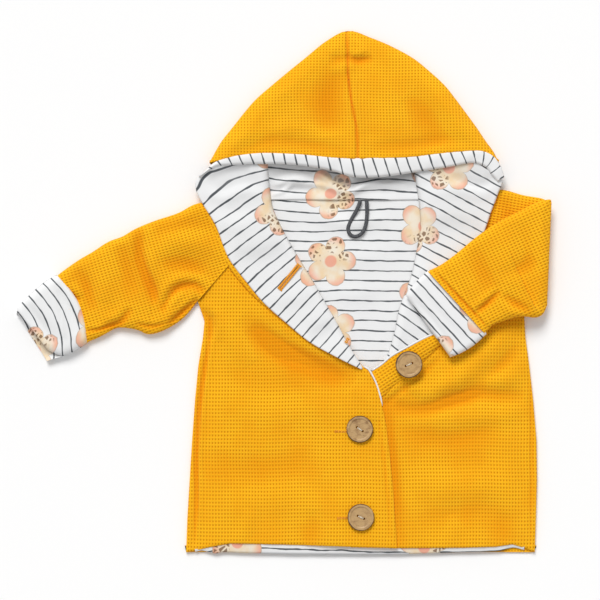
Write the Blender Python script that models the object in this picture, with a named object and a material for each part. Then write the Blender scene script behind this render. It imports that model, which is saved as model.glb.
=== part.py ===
"""A hooded baby jacket of waffle knit with a striped jersey lining, laid flat on its back.

The hood lies above the neck, the front edges are turned out as lapels, the right
sleeve lies out to the side and the left one is folded over the front. Tables are in
millimetres: x to the right, y towards the hood, z up, the origin under the middle.
"""

import math
from typing import NamedTuple

import bmesh
import bpy
import numpy as np

MM = 0.001

# Cloth, seams and the height that each layer lies at, in mm
WAFFLE = 1.8
JERSEY = 1.0
SEAM_GAP = 0.3
LAY_GAP = 0.5
BACK_LINING_Z = WAFFLE + LAY_GAP
SIDE_SEAM_Z = WAFFLE + SEAM_GAP
FRONT_Z = 5.2
OVERLAP_Z = FRONT_Z + WAFFLE + LAY_GAP
LAPEL_OVER_TURN = WAFFLE + LAY_GAP
LAPEL_Z = 7.6 + LAPEL_OVER_TURN
TIP_LIFT = 2.2
FOLD_DROP = 3.4
FOLD_DROP_LOW_Y = -45.0
FOLD_DROP_HIGH_Y = 58.0
SIDE_RAMP = 28.0
OVERLAP_SHELF = 54.0
OVERLAP_RAMP = 34.0
FOLD_WIDTH = 9.0
TURN_BORDER = 4.5
ARM_FLAT = 7.0

# The hood: its centre seam, how high it stands and where its mouth and neck edge lie
HOOD_TIP_Y = 234.0
HOOD_MOUTH_Y = 118.0
HOOD_MOUTH_HEIGHT = 16.0
HOOD_TIP_HEIGHT = 5.0
HOOD_TOP_STEPS = 8
HOOD_ARC_STEPS = 5
HOOD_ROWS = 11

# Coconut-shell buttons
BUTTON_DIAMETER = 24.0
BUTTON_THICKNESS = 3.2
BUTTON_DISH_DEPTH = 0.7
BUTTON_RIM = 2.2
BUTTON_HOLE_DIAMETER = 2.2
BUTTON_HOLE_SPACING = 6.2
BUTTON_SIDES = 40

# The hanging loop in the neck seam
LOOP_DIAMETER = 3.2
LOOP_POINT_SPACING = 4.0


class Row(NamedTuple):
    """A line across a piece: its two ends and the underside's height at each."""

    ax: float
    ay: float
    az: float
    bx: float
    by: float
    bz: float


class Ring(NamedTuple):
    """A section of a flattened tube: its two side edges, its underside, its height, and
    how far the upper cloth is drawn back from the lower."""

    ax: float
    ay: float
    bx: float
    by: float
    base: float
    height: float
    draw_x: float = 0.0
    draw_y: float = 0.0


class Fold(NamedTuple):
    """A long soft ridge, or a trough where its height is negative."""

    x0: float
    y0: float
    x1: float
    y1: float
    half_width: float
    height: float


class Outline(NamedTuple):
    """A point of the hood's outline or centre seam."""

    x: float
    y: float


class Mouth(NamedTuple):
    """How far out from the seam (0 to 1) a point is, and where the cloth's edge lies there."""

    out: float
    y: float


class Button(NamedTuple):
    """A button's place, and the height of the cloth it is sewn to."""

    name: str
    x: float
    y: float
    seat: float
    turn: float


BACK = (
    Row(-88, -234, 0, 225, -234, 0),
    Row(-86, -205, 0, 226, -205, 0),
    Row(-85, -169, 0, 227, -169, 0),
    Row(-82, -133, 0, 227, -133, 0),
    Row(-80, -97, 0, 224, -97, 0),
    Row(-76, -52, 0, 220, -58, 0),
    Row(-77, -9, 0, 216, -22, 0),
    Row(-49.5, 22.3, 0, 190, 8, 0),
    Row(-23.5, 52.3, 0, 160, 43, 0),
    Row(-13.5, 64, 0, 143, 62.5, 0),
    Row(-12.5, 83, 0, 126, 83, 0),
)
BACK_LINING_SIDE_INSET = 16.0
BACK_LINING_RAGLAN_INSET = 3.0
RAGLAN_ROWS = 4

FRONT_RIGHT = (
    Row(-88, -232, SIDE_SEAM_Z, 102, -230, OVERLAP_Z),
    Row(-86, -205, SIDE_SEAM_Z, 100, -205, OVERLAP_Z),
    Row(-85, -169, SIDE_SEAM_Z, 97, -165, OVERLAP_Z),
    Row(-82, -133, SIDE_SEAM_Z, 93, -133, OVERLAP_Z),
    Row(-80, -97, SIDE_SEAM_Z, 86, -96, OVERLAP_Z),
    Row(-77, -66, SIDE_SEAM_Z, 76, -72, OVERLAP_Z),
    Row(-76, -38, SIDE_SEAM_Z, 48, -50, FRONT_Z),
    Row(-77, -9, 4.4, 27, -21, FRONT_Z),
    Row(-63.5, 6.3, FRONT_Z, 14, 0, FRONT_Z),
    Row(-49.5, 22.3, FRONT_Z, 1, 23, FRONT_Z),
    Row(-31, 43.5, FRONT_Z, -10, 42, FRONT_Z),
    Row(-22, 53, FRONT_Z, -14, 52, FRONT_Z),
)

FRONT_LEFT = (
    Row(53, -230, FRONT_Z, 225, -232, SIDE_SEAM_Z),
    Row(53, -205, FRONT_Z, 226, -205, SIDE_SEAM_Z),
    Row(53, -169, FRONT_Z, 227, -169, SIDE_SEAM_Z),
    Row(53, -124, FRONT_Z, 227, -133, SIDE_SEAM_Z),
    Row(61, -97, FRONT_Z, 224, -97, SIDE_SEAM_Z),
    Row(86, -75, FRONT_Z, 220, -58, SIDE_SEAM_Z),
    Row(103, -50, FRONT_Z, 216, -22, 4.4),
    Row(112, -17, FRONT_Z, 196, 1, FRONT_Z),
    Row(123, 14, FRONT_Z, 177, 23, FRONT_Z),
    Row(132, 38, FRONT_Z, 158, 45, FRONT_Z),
    Row(134, 56, FRONT_Z, 144, 61, FRONT_Z),
)

# From the fold line (a) to the free edge (b), tip first
LAPEL_RIGHT = (
    Row(71, -68, LAPEL_Z + TIP_LIFT, 69, -69.5, LAPEL_Z + TIP_LIFT),
    Row(59, -49, LAPEL_Z + TIP_LIFT, 50, -60, LAPEL_Z + TIP_LIFT),
    Row(49, -30, LAPEL_Z, 23, -45, LAPEL_Z),
    Row(37, -9, LAPEL_Z, 1, -27, LAPEL_Z),
    Row(26, 10, LAPEL_Z, -18, -10, LAPEL_Z),
    Row(15, 28, LAPEL_Z, -33, 8, LAPEL_Z),
    Row(5, 45, LAPEL_Z, -50, 31, LAPEL_Z),
    Row(-4, 62, LAPEL_Z, -61, 59, LAPEL_Z),
    Row(-10, 76, LAPEL_Z, -73, 79, LAPEL_Z),
    Row(-12, 88, LAPEL_Z, -79, 92, LAPEL_Z),
    Row(-13, 101, LAPEL_Z, -77, 103, LAPEL_Z),
    Row(-14, 114, LAPEL_Z, -58, 115, LAPEL_Z),
    Row(-14, 124, LAPEL_Z, -46, 125, LAPEL_Z),
)

LAPEL_LEFT = (
    Row(87, -69, OVERLAP_Z, 96, -72, OVERLAP_Z),
    Row(94, -54, OVERLAP_Z + 0.8, 115, -58, OVERLAP_Z),
    Row(99, -37, LAPEL_Z, 131, -41, 8.0),
    Row(103, -17, LAPEL_Z, 140, -27, LAPEL_Z),
    Row(108, -2, LAPEL_Z, 150, -11, LAPEL_Z),
    Row(114, 14, LAPEL_Z, 160, 7, LAPEL_Z),
    Row(118, 32, LAPEL_Z, 171, 31, LAPEL_Z),
    Row(122, 54, LAPEL_Z, 180, 54, LAPEL_Z),
    Row(122, 72, LAPEL_Z, 186, 72, LAPEL_Z),
    Row(120, 88, LAPEL_Z, 192, 88, LAPEL_Z),
    Row(119, 101, LAPEL_Z, 194, 100, LAPEL_Z),
    Row(119, 114, LAPEL_Z, 178, 114, LAPEL_Z),
    Row(119, 122, LAPEL_Z, 168, 122, LAPEL_Z),
)

# The left front's edge zone, turned back over the lapel: free edge (a), fold (b)
EDGE_ROLL = (
    Row(88, -71, 9.0, 91, -92, 7.6),
    Row(97, -58, 9.8, 98, -84, 7.8),
    Row(112, -50, 9.9, 112, -73, 8.2),
    Row(123, -44, 9.9, 125, -62, 8.4),
    Row(134, -39, 9.3, 137, -50, 8.6),
    Row(145, -35, 9.2, 147, -41, 8.8),
)

# The lining turned over the hood's front edge: mustard side (a), free side (b)
HOOD_BAND = (
    Row(-71, 108, 11.4, -75, 104, 11.4),
    Row(-62, 114.5, 12.4, -59, 110, 11.4),
    Row(-50, 118.6, 13.4, -47, 113, 11.4),
    Row(-35, 122.4, 14.2, -33, 115, 11.4),
    Row(4, 121.4, 14.2, 2, 114, 11.4),
    Row(43, 118.4, 14.2, 44, 108, 11.4),
    Row(67, 117.4, 14.2, 66, 104, 11.4),
    Row(94, 118.4, 14.2, 94, 104, 11.4),
    Row(127, 120.4, 14.2, 124, 109, 11.4),
    Row(156, 124.0, 14.2, 153, 115, 11.4),
    Row(172, 121.6, 13.6, 169, 116, 11.4),
    Row(183, 119.4, 12.8, 178, 113, 11.4),
    Row(190, 109, 11.4, 184, 105, 11.4),
    Row(196, 100.5, 11.4, 191, 100, 11.4),
)

HOOD_LINING = (
    Row(-12, 84.5, BACK_LINING_Z, 125, 84.5, BACK_LINING_Z),
    Row(-26, 104, BACK_LINING_Z, 140, 100, BACK_LINING_Z),
    Row(-40, 124, BACK_LINING_Z, 158, 122, BACK_LINING_Z),
    Row(-30, 146, BACK_LINING_Z, 154, 146, BACK_LINING_Z),
    Row(-10, 165, BACK_LINING_Z, 144, 165, BACK_LINING_Z),
)

HOOD_SEAM = (
    Outline(66, 60),
    Outline(66, 119),
    Outline(66, 148),
    Outline(60, 171),
    Outline(58, 196),
    Outline(58, 212),
    Outline(58, 236),
)
HOOD_SIDE_RIGHT = (
    Outline(-73, 80),
    Outline(-73, 112),
    Outline(-63, 120),
    Outline(-50, 131),
    Outline(-43, 148),
    Outline(-29, 163),
    Outline(-10, 181),
    Outline(12, 200),
    Outline(32, 218),
    Outline(46, 228),
    Outline(52, 235),
)
HOOD_SIDE_LEFT = (
    Outline(197, 80),
    Outline(197, 108),
    Outline(194, 117),
    Outline(189, 124),
    Outline(180, 134),
    Outline(167, 153),
    Outline(154, 173),
    Outline(137, 194),
    Outline(117, 209),
    Outline(92, 221),
    Outline(74, 229),
    Outline(66, 235),
)
MOUTH_RIGHT = (Mouth(0, HOOD_MOUTH_Y), Mouth(0.5, 122), Mouth(0.85, 123), Mouth(1, 120))
MOUTH_LEFT = (Mouth(0, HOOD_MOUTH_Y), Mouth(0.5, 121.5), Mouth(0.75, 125), Mouth(0.92, 125), Mouth(1, 121))
NECK_RIGHT = (Mouth(0, 83.6), Mouth(0.58, 84.2), Mouth(0.8, 94), Mouth(1, 105))
NECK_LEFT = (Mouth(0, 83.6), Mouth(0.46, 84.2), Mouth(0.7, 94), Mouth(1, 100))

SLEEVE_RIGHT = (
    Ring(-15.5, 63.3, -77.8, -8.6, 0, ARM_FLAT),
    Ring(-40, 83, -86, -19, 0, ARM_FLAT),
    Ring(-76, 80, -95, -27, 0, 7.4),
    Ring(-95, 71, -109, -35, 0, 9.0),
    Ring(-116, 64, -122, -38, 0, 10.0),
    Ring(-133, 57, -132, -34, 0, 9.0),
    Ring(-145, 50, -145, -32, 0, 9.5),
    Ring(-158, 45, -152, -33, 0, 10.0),
    Ring(-172, 36, -161, -38, 0, 9.5),
    Ring(-184, 29, -169, -42, 0, 9.0),
    Ring(-197, 20, -174, -44, 0, 8.0),
    Ring(-203, 14, -177, -44, 0, 7.4),
)
CUFF_RIGHT = (
    Ring(-204.2, 15.4, -176.8, -46, 0, 9.0),
    Ring(-215, 9, -186, -52, 0, 9.4),
    Ring(-228, -2, -197, -57, 0, 9.4, 1.5, 2),
    Ring(-237, -12, -207, -60, 0, 9.0, 3, 4),
    Ring(-241.5, -18, -211, -62, 0, 8.4, 5, 7),
)
UPPER_ARM_LEFT = (
    Ring(131.8, 76.4, 216.6, -21.2, 0, ARM_FLAT),
    Ring(167, 88, 220, -20, 0, ARM_FLAT),
    Ring(194, 92, 224, -19, 0, ARM_FLAT),
    Ring(215, 87, 228, -18, 0, ARM_FLAT),
    Ring(232, 84, 231, -16, 0, ARM_FLAT),
    Ring(237, 80, 235, -11, 0, 6.0),
)
SLEEVE_LEFT = (
    Ring(240, 80, 236, -12, 7.6, 5.0),
    Ring(238, 83, 232, -20, 7.6, 8.0),
    Ring(226, 80, 225, -23, 8.4, 9.5),
    Ring(210, 72, 214, -22, 10.6, 9.5),
    Ring(192, 63, 203, -24, 11.4, 9.0),
    Ring(172, 49, 194, -27, 11.4, 8.5),
    Ring(154, 34, 187, -30, 11.4, 8.0),
    Ring(140, 24, 183, -34, 11.4, 7.6),
    Ring(129.5, 19.5, 181, -37, 11.4, 7.4),
)
CUFF_LEFT = (
    Ring(128.3, 18.4, 180.2, -38.8, 11.3, 8.6),
    Ring(121, 12, 171, -47, 11.3, 9.0),
    Ring(114, 4, 160, -54, 11.3, 8.6),
    Ring(109, -3, 149, -58.5, 11.3, 8.0, 1.5, 2),
)

FOLDS = (
    Fold(98, -104, 215, -96, 22, -1.3),
    Fold(100, -132, 190, -122, 20, 0.7),
    Fold(-70, -60, 40, -120, 30, 0.6),
    Fold(110, -170, 200, -196, 26, 0.6),
)

BUTTONS = (
    Button("button_top", 112, -65, 11.8, 25),
    Button("button_middle", 68, -123, OVERLAP_Z + WAFFLE, -35),
    Button("button_low", 69, -202, OVERLAP_Z + WAFFLE, -25),
)

# The loop's centre line, from one end in the neck seam round to the other
LOOP_Z = BACK_LINING_Z + JERSEY + LAY_GAP + LOOP_DIAMETER / 2
LOOP_ROUTE = ((68.6, 82.5), (67.6, 79), (65, 73), (60, 64), (57.6, 57), (59.6, 51.5), (64.6, 49.8), (70.2, 53), (73.4, 60), (74.6, 70), (74.4, 78), (74.2, 82.5))

COLOURS = {
    "mustard waffle": (0.93, 0.42, 0.01),
    "striped jersey": (0.86, 0.86, 0.85),
    "coconut shell": (0.42, 0.27, 0.14),
    "grey cord": (0.06, 0.06, 0.065),
}
ROUGHNESS = {"mustard waffle": 0.9, "striped jersey": 0.85, "coconut shell": 0.5, "grey cord": 0.8}


def clear_scene():
    """Remove every object, so that the model stands alone."""
    for item in list(bpy.data.objects):
        bpy.data.objects.remove(item, do_unlink=True)


def material(name):
    """A plain finish of the named cloth or shell."""
    found = bpy.data.materials.get(name)
    if found:
        return found
    made = bpy.data.materials.new(name)
    made.use_nodes = True
    shader = made.node_tree.nodes["Principled BSDF"]
    shader.inputs["Base Color"].default_value = (*COLOURS[name], 1)
    shader.inputs["Roughness"].default_value = ROUGHNESS[name]
    shader.inputs["Metallic"].default_value = 0
    return made


def ease(value):
    """A soft step from 0 to 1."""
    value = np.clip(value, 0, 1)
    return value * value * (3 - 2 * value)


def resampled(rows, steps_between):
    """The table's rows with evenly spaced ones added between them, as an array."""
    table = np.array(rows, float)
    place = np.linspace(0, len(table) - 1, (len(table) - 1) * steps_between + 1)
    return np.stack([np.interp(place, np.arange(len(table)), column) for column in table.T], axis=1)


def along_outline(outline, y):
    """The outline's x at a height y."""
    points = np.array(outline, float)
    return np.interp(y, points[:, 1], points[:, 0])


def fold_lift(x, y):
    """How far the large folds raise or lower the cloth: a bell across each fold's line that fades to its ends."""
    lift = np.zeros_like(x)
    for fold in FOLDS:
        run_x, run_y = fold.x1 - fold.x0, fold.y1 - fold.y0
        length = math.hypot(run_x, run_y)
        along = ((x - fold.x0) * run_x + (y - fold.y0) * run_y) / length**2
        across = ((x - fold.x0) * run_y - (y - fold.y0) * run_x) / length
        fade = ease(along / 0.3) * ease((1 - along) / 0.3)
        lift += fold.height * fade * np.exp(-((across / fold.half_width) ** 2))
    return lift


def solid(name, outer, inner, finish, closed=False):
    """A wall between two grids of points: its two faces and the rims between them."""
    rows, columns = outer.shape[:2]
    points = np.concatenate([outer.reshape(-1, 3), inner.reshape(-1, 3)]) * MM
    far = rows * columns
    mesh = bmesh.new()
    verts = [mesh.verts.new(point) for point in points]
    last = columns if closed else columns - 1

    def at(row, column, side):
        return verts[side * far + row * columns + column % columns]

    for row in range(rows - 1):
        for column in range(last):
            corners = ((row, column), (row, column + 1), (row + 1, column + 1), (row + 1, column))
            mesh.faces.new([at(*corner, 0) for corner in corners])
            mesh.faces.new([at(*corner, 1) for corner in reversed(corners)])
    for row in (0, rows - 1):
        for column in range(last):
            rim = [at(row, column, 0), at(row, column, 1), at(row, column + 1, 1), at(row, column + 1, 0)]
            mesh.faces.new(rim if row == 0 else rim[::-1])
    if not closed:
        for column in (0, columns - 1):
            for row in range(rows - 1):
                rim = [at(row, column, 0), at(row + 1, column, 0), at(row + 1, column, 1), at(row, column, 1)]
                mesh.faces.new(rim if column == 0 else rim[::-1])
    bmesh.ops.triangulate(mesh, faces=mesh.faces[:])
    if mesh.calc_volume(signed=True) < 0:
        bmesh.ops.reverse_faces(mesh, faces=mesh.faces[:])
    return add_object(name, mesh, finish)


def add_object(name, mesh, finish):
    """Put a finished mesh into the scene under its name."""
    data = bpy.data.meshes.new(name)
    mesh.to_mesh(data)
    mesh.free()
    data.materials.append(material(finish))
    data.shade_smooth()
    data.set_sharp_from_angle(angle=math.radians(35))
    made = bpy.data.objects.new(name, data)
    bpy.context.collection.objects.link(made)
    return made


def panel(name, rows, thickness, across, finish, middle=None, ramps=(1, 1), shelf=0, drop=0,
          folds=False, between=1):
    """A sheet of cloth between the rows' ends. With middle given, the cloth lies at that height
    and slopes to the rows' end heights within the two ramps, the one at b beyond a level shelf;
    drop lowers the edge at a, where the cloth turns over."""
    table = resampled(rows, between)
    share = np.linspace(0, 1, across)[None, :]
    start, stop = table[:, None, 0:3], table[:, None, 3:6]
    x = start[..., 0] + (stop[..., 0] - start[..., 0]) * share
    y = start[..., 1] + (stop[..., 1] - start[..., 1]) * share
    width = np.hypot(stop[..., 0] - start[..., 0], stop[..., 1] - start[..., 1])
    if middle is None:
        z = start[..., 2] + (stop[..., 2] - start[..., 2]) * share
    else:
        near_a = ease(1 - width * share / ramps[0])
        near_b = ease(1 - (width * (1 - share) - shelf) / ramps[1])
        z = middle + (start[..., 2] - middle) * near_a + (stop[..., 2] - middle) * near_b
    if drop:
        reached = ease((y - FOLD_DROP_LOW_Y) / 20) * ease((FOLD_DROP_HIGH_Y - y) / 20)
        z = z - drop * reached * ease(1 - width * share / FOLD_WIDTH)
    if folds:
        z = z + fold_lift(x, y)
    under = np.stack([x, y, z], axis=2)
    over = under + np.array([0, 0, thickness])
    return solid(name, over, under, finish)


def inset_rows(rows, inset, upper_inset, upper_rows, z):
    """The same rows drawn in from both ends, the last few of them by less, at one height."""
    drawn = []
    for index, row in enumerate(rows):
        draw = upper_inset if index >= len(rows) - upper_rows else inset
        drawn.append(Row(row.ax + draw, row.ay, z, row.bx - draw, row.by, z))
    return tuple(drawn)


def stadium(half_width, radius, flat_steps, arc_steps):
    """Points round a flat oval, as offsets across and up from its middle: top, side, bottom, side."""
    reach = half_width - radius
    line = np.linspace(-reach, reach, flat_steps)
    turn = np.linspace(0, math.pi, arc_steps + 2)[1:-1]
    across = np.concatenate([line, reach + radius * np.sin(turn), line[::-1], -reach - radius * np.sin(turn)])
    up = np.concatenate([np.full(flat_steps, radius), radius * np.cos(turn),
                         np.full(flat_steps, -radius), -radius * np.cos(turn)])
    return across, up


def tube(name, rings, wall, finish, flat_steps=7, arc_steps=3, between=1):
    """A flattened tube of cloth through the rings, open at both ends."""
    outer, inner = [], []
    for ring in resampled(rings, between):
        ax, ay, bx, by, base, height, draw_x, draw_y = ring
        width = math.hypot(bx - ax, by - ay)
        run = np.array([bx - ax, by - ay]) / width
        middle = np.array([ax + bx, ay + by]) / 2
        for store, inset in ((outer, 0.0), (inner, wall)):
            across, up = stadium(width / 2 - inset, height / 2 - inset, flat_steps, arc_steps)
            lifted = np.clip((up / (height / 2) + 1) / 2, 0, 1)
            x = middle[0] + run[0] * across + draw_x * lifted
            y = middle[1] + run[1] * across + draw_y * lifted
            store.append(np.stack([x, y, base + height / 2 + up], axis=1))
    return solid(name, np.array(outer), np.array(inner), finish, closed=True)


def hood_half(name, side, mouth, neck, hand):
    """Half the hood: from the centre seam out over the top, round the side and back beneath
    to the seam. Each line from the mouth runs to the tip, so the cloth closes there."""
    turn = np.linspace(0, math.pi, HOOD_ARC_STEPS + 2)[1:-1]
    out = np.concatenate([np.linspace(0, 1, HOOD_TOP_STEPS), np.ones(HOOD_ARC_STEPS),
                          np.linspace(1, 0, HOOD_TOP_STEPS)])
    angle = np.concatenate([np.zeros(HOOD_TOP_STEPS), turn, np.full(HOOD_TOP_STEPS, math.pi)])
    under = ease(angle / math.pi)
    mouth_y = np.interp(out, *np.array(mouth, float).T)
    neck_y = np.interp(out, *np.array(neck, float).T)
    start_y = mouth_y * (1 - under) + neck_y * under
    outer, inner = [], []
    for step in np.linspace(0, 1, HOOD_ROWS):
        y = start_y + (HOOD_TIP_Y - start_y) * step
        rise = np.clip((HOOD_TIP_Y - y) / (HOOD_TIP_Y - HOOD_MOUTH_Y), 0, 1)
        height = HOOD_TIP_HEIGHT + (HOOD_MOUTH_HEIGHT - HOOD_TIP_HEIGHT) * rise**0.6
        seam = along_outline(HOOD_SEAM, y) + hand * SEAM_GAP / 2
        width = np.abs(along_outline(side, y) - seam)
        for store, inset in ((outer, 0.0), (inner, WAFFLE)):
            radius = height / 2 - inset
            reach = (width - height / 2) * out + radius * np.sin(angle)
            store.append(np.stack([seam + hand * reach, y, height / 2 + radius * np.cos(angle)], axis=1))
    return solid(name, np.array(outer), np.array(inner), "mustard waffle")


def button(spec):
    """A round shell button, dished on top, with two thread holes cut through it."""
    mesh = bmesh.new()
    radius = BUTTON_DIAMETER / 2
    profile = ((0, 0), (radius - 1.0, 0), (radius, 1.0), (radius, BUTTON_THICKNESS - 0.6),
               (radius - 0.6, BUTTON_THICKNESS), (radius - BUTTON_RIM, BUTTON_THICKNESS),
               (radius - BUTTON_RIM - 1.2, BUTTON_THICKNESS - BUTTON_DISH_DEPTH),
               (0, BUTTON_THICKNESS - BUTTON_DISH_DEPTH))
    verts = [mesh.verts.new((reach * MM, 0, height * MM)) for reach, height in profile]
    edges = [mesh.edges.new(pair) for pair in zip(verts, verts[1:])]
    bmesh.ops.spin(mesh, geom=verts + edges, cent=(0, 0, 0), axis=(0, 0, 1),
                   angle=2 * math.pi, steps=BUTTON_SIDES, use_duplicate=False)
    bmesh.ops.remove_doubles(mesh, verts=mesh.verts[:], dist=0.00001)
    bmesh.ops.recalc_face_normals(mesh, faces=mesh.faces[:])
    made = add_object(spec.name, mesh, "coconut shell")
    made.location = (spec.x * MM, spec.y * MM, (spec.seat + SEAM_GAP) * MM)
    made.rotation_euler = (0, 0, math.radians(spec.turn))
    for hand in (-1, 1):
        cutter = hole_cutter(f"{spec.name}_hole_{'a' if hand < 0 else 'b'}")
        cutter.parent = made
        cutter.location = (hand * BUTTON_HOLE_SPACING / 2 * MM, 0, BUTTON_THICKNESS / 2 * MM)
        cut = made.modifiers.new("thread hole", "BOOLEAN")
        cut.operation = "DIFFERENCE"
        cut.object = cutter
    return made


def hole_cutter(name):
    """A rod that bores one thread hole."""
    mesh = bmesh.new()
    bmesh.ops.create_cone(mesh, cap_ends=True, segments=12, radius1=BUTTON_HOLE_DIAMETER / 2 * MM,
                          radius2=BUTTON_HOLE_DIAMETER / 2 * MM, depth=3 * BUTTON_THICKNESS * MM)
    cutter = add_object(name, mesh, "coconut shell")
    cutter.hide_render = True
    cutter.display_type = "WIRE"
    return cutter


def smooth_route(points, spacing):
    """Points at an even spacing on a smooth curve (Catmull-Rom) through the given ones."""
    control = np.array(points, float)
    control = np.vstack([2 * control[0] - control[1], control, 2 * control[-1] - control[-2]])
    fine = []
    for p0, p1, p2, p3 in zip(control, control[1:], control[2:], control[3:]):
        for t in np.linspace(0, 1, 16, endpoint=False):
            fine.append(0.5 * (2 * p1 + (p2 - p0) * t + (2 * p0 - 5 * p1 + 4 * p2 - p3) * t**2
                               + (3 * p1 - p0 - 3 * p2 + p3) * t**3))
    fine.append(control[-2])
    fine = np.array(fine)
    run = np.concatenate([[0], np.cumsum(np.linalg.norm(np.diff(fine, axis=0), axis=1))])
    place = np.linspace(0, run[-1], max(2, round(run[-1] / spacing) + 1))
    return np.stack([np.interp(place, run, column) for column in fine.T], axis=1)


def hanging_loop():
    """The cord loop, as a filled tube along its route."""
    curve = bpy.data.curves.new("hanging_loop", "CURVE")
    curve.dimensions = "3D"
    curve.bevel_depth = LOOP_DIAMETER / 2 * MM
    curve.bevel_resolution = 2
    curve.render_resolution_u = 0
    curve.use_fill_caps = True
    route = smooth_route(LOOP_ROUTE, LOOP_POINT_SPACING)
    spline = curve.splines.new("POLY")
    spline.points.add(len(route) - 1)
    for point, (x, y) in zip(spline.points, route):
        point.co = (x * MM, y * MM, LOOP_Z * MM, 1)
    curve.materials.append(material("grey cord"))
    made = bpy.data.objects.new("hanging_loop", curve)
    bpy.context.collection.objects.link(made)
    return made


def body_panels():
    """The back with its lining, and the two fronts."""
    panel("back", BACK, WAFFLE, 10, "mustard waffle")
    lining = inset_rows(BACK, BACK_LINING_SIDE_INSET, BACK_LINING_RAGLAN_INSET, RAGLAN_ROWS, BACK_LINING_Z)
    panel("back_lining", lining, JERSEY, 10, "striped jersey")
    panel("front_right", FRONT_RIGHT, WAFFLE, 13, "mustard waffle", middle=FRONT_Z,
          ramps=(SIDE_RAMP, OVERLAP_RAMP), shelf=OVERLAP_SHELF, folds=True, between=2)
    panel("front_left", FRONT_LEFT, WAFFLE, 13, "mustard waffle", middle=FRONT_Z,
          ramps=(1, SIDE_RAMP), folds=True, between=2)


def beneath(row, border):
    """The outer cloth's row under a lapel's: lower, and longer at the free edge by its border."""
    run = math.hypot(row.bx - row.ax, row.by - row.ay)
    return row._replace(az=row.az - LAPEL_OVER_TURN, bz=row.bz - LAPEL_OVER_TURN,
                        bx=row.bx + (row.bx - row.ax) / run * border,
                        by=row.by + (row.by - row.ay) / run * border)


def turned_edges():
    """The lapels: outer cloth turned out under the lining, and the left front's rolled edge."""
    for side, rows, border in (("right", LAPEL_RIGHT[1:], TURN_BORDER), ("left", LAPEL_LEFT[3:], 0)):
        under = tuple(beneath(row, border) for row in rows)
        panel(f"turned_front_{side}", under, WAFFLE, 6, "mustard waffle", drop=FOLD_DROP)
    panel("lapel_right", LAPEL_RIGHT, JERSEY, 6, "striped jersey")
    panel("lapel_left", LAPEL_LEFT, JERSEY, 6, "striped jersey")
    panel("edge_roll_left", EDGE_ROLL, WAFFLE, 5, "mustard waffle")


def hood():
    """Both halves of the hood, the lining seen inside it and its turned front edge."""
    hood_half("hood_right", HOOD_SIDE_RIGHT, MOUTH_RIGHT, NECK_RIGHT, -1)
    hood_half("hood_left", HOOD_SIDE_LEFT, MOUTH_LEFT, NECK_LEFT, 1)
    panel("hood_lining", HOOD_LINING, JERSEY, 8, "striped jersey")
    panel("hood_band", HOOD_BAND, JERSEY, 3, "striped jersey")


def sleeves():
    """The sleeve laid out to the side, and the one folded over the front, with their cuffs."""
    tube("sleeve_right", SLEEVE_RIGHT, WAFFLE, "mustard waffle")
    tube("cuff_right", CUFF_RIGHT, JERSEY, "striped jersey")
    tube("upper_arm_left", UPPER_ARM_LEFT, WAFFLE, "mustard waffle")
    tube("sleeve_left", SLEEVE_LEFT, WAFFLE, "mustard waffle")
    tube("cuff_left", CUFF_LEFT, JERSEY, "striped jersey")


def main():
    """Build the whole jacket."""
    clear_scene()
    body_panels()
    hood()
    turned_edges()
    sleeves()
    for spec in BUTTONS:
        button(spec)
    hanging_loop()


main()
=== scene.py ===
"""A hooded baby jacket of waffle knit with a striped jersey lining, laid flat on its back.

Sizes and places are in millimetres, x to the right, y towards the hood and z up. "Right" and
"left" are the wearer's. Meshes are turned to metres when they are put into the scene.
"""

import logging
import math
from collections.abc import Sequence
from dataclasses import dataclass, replace
from enum import Enum

import bpy
import numpy as np
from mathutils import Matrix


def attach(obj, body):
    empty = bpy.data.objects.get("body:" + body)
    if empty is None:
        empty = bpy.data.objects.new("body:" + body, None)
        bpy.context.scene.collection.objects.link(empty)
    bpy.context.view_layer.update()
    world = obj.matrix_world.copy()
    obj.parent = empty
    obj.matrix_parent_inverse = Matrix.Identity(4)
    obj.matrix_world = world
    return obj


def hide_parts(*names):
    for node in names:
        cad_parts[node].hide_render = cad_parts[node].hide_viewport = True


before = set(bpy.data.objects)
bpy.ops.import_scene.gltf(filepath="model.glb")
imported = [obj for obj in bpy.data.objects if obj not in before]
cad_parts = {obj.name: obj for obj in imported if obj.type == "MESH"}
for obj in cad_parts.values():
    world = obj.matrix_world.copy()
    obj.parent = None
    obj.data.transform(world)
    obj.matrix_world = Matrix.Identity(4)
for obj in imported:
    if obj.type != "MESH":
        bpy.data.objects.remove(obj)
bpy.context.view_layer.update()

LOG = logging.getLogger("jacket")
Array = np.ndarray
Point = tuple[float, float]
Colour = tuple[float, float, float]

MM = 0.001
THREADS = "threads"
# The attribute that holds each point's painted shade in folds, which the finishes darken their colour by
PAINTED_SHADE_ATTRIBUTE = "fold"

# A waffle cell's measure along the threads, its pits' depth, how high its bars stand against its
# ribs, the flat rim at an edge, the cloths' thicknesses and the depth of a fold whose painted shade is full,
# in mm
CELL = 3.2
RELIEF = 0.85
BAR_SHARE = 0.72
FLAT_EDGE = 1.6
WAFFLE_WALL = 1.8
JERSEY_WALL = 1.0
CREASE_FULL = 2.4

# How far the lining's print is moved up, to put its stripes where they lie, in mm
PRINT_SHIFT = 3.4

# How fast a braid's strands turn along it, in radians a mm, and a stitch's number of sides
BRAID_TURN = 2.2
STITCH_SIDES = 6

# Heights of the layers, in mm
SIDE_TOP = 4.6
FRONT_TOP = 7.0
OVERLAP_TOP = 9.3
LAPEL_TOP = 10.9


def ease(value: Array) -> Array:
    """A soft step from 0 to 1: 3 v^2 - 2 v^3, with v held between 0 and 1."""
    held = np.clip(value, 0, 1)
    return held * held * (3 - 2 * held)


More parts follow.
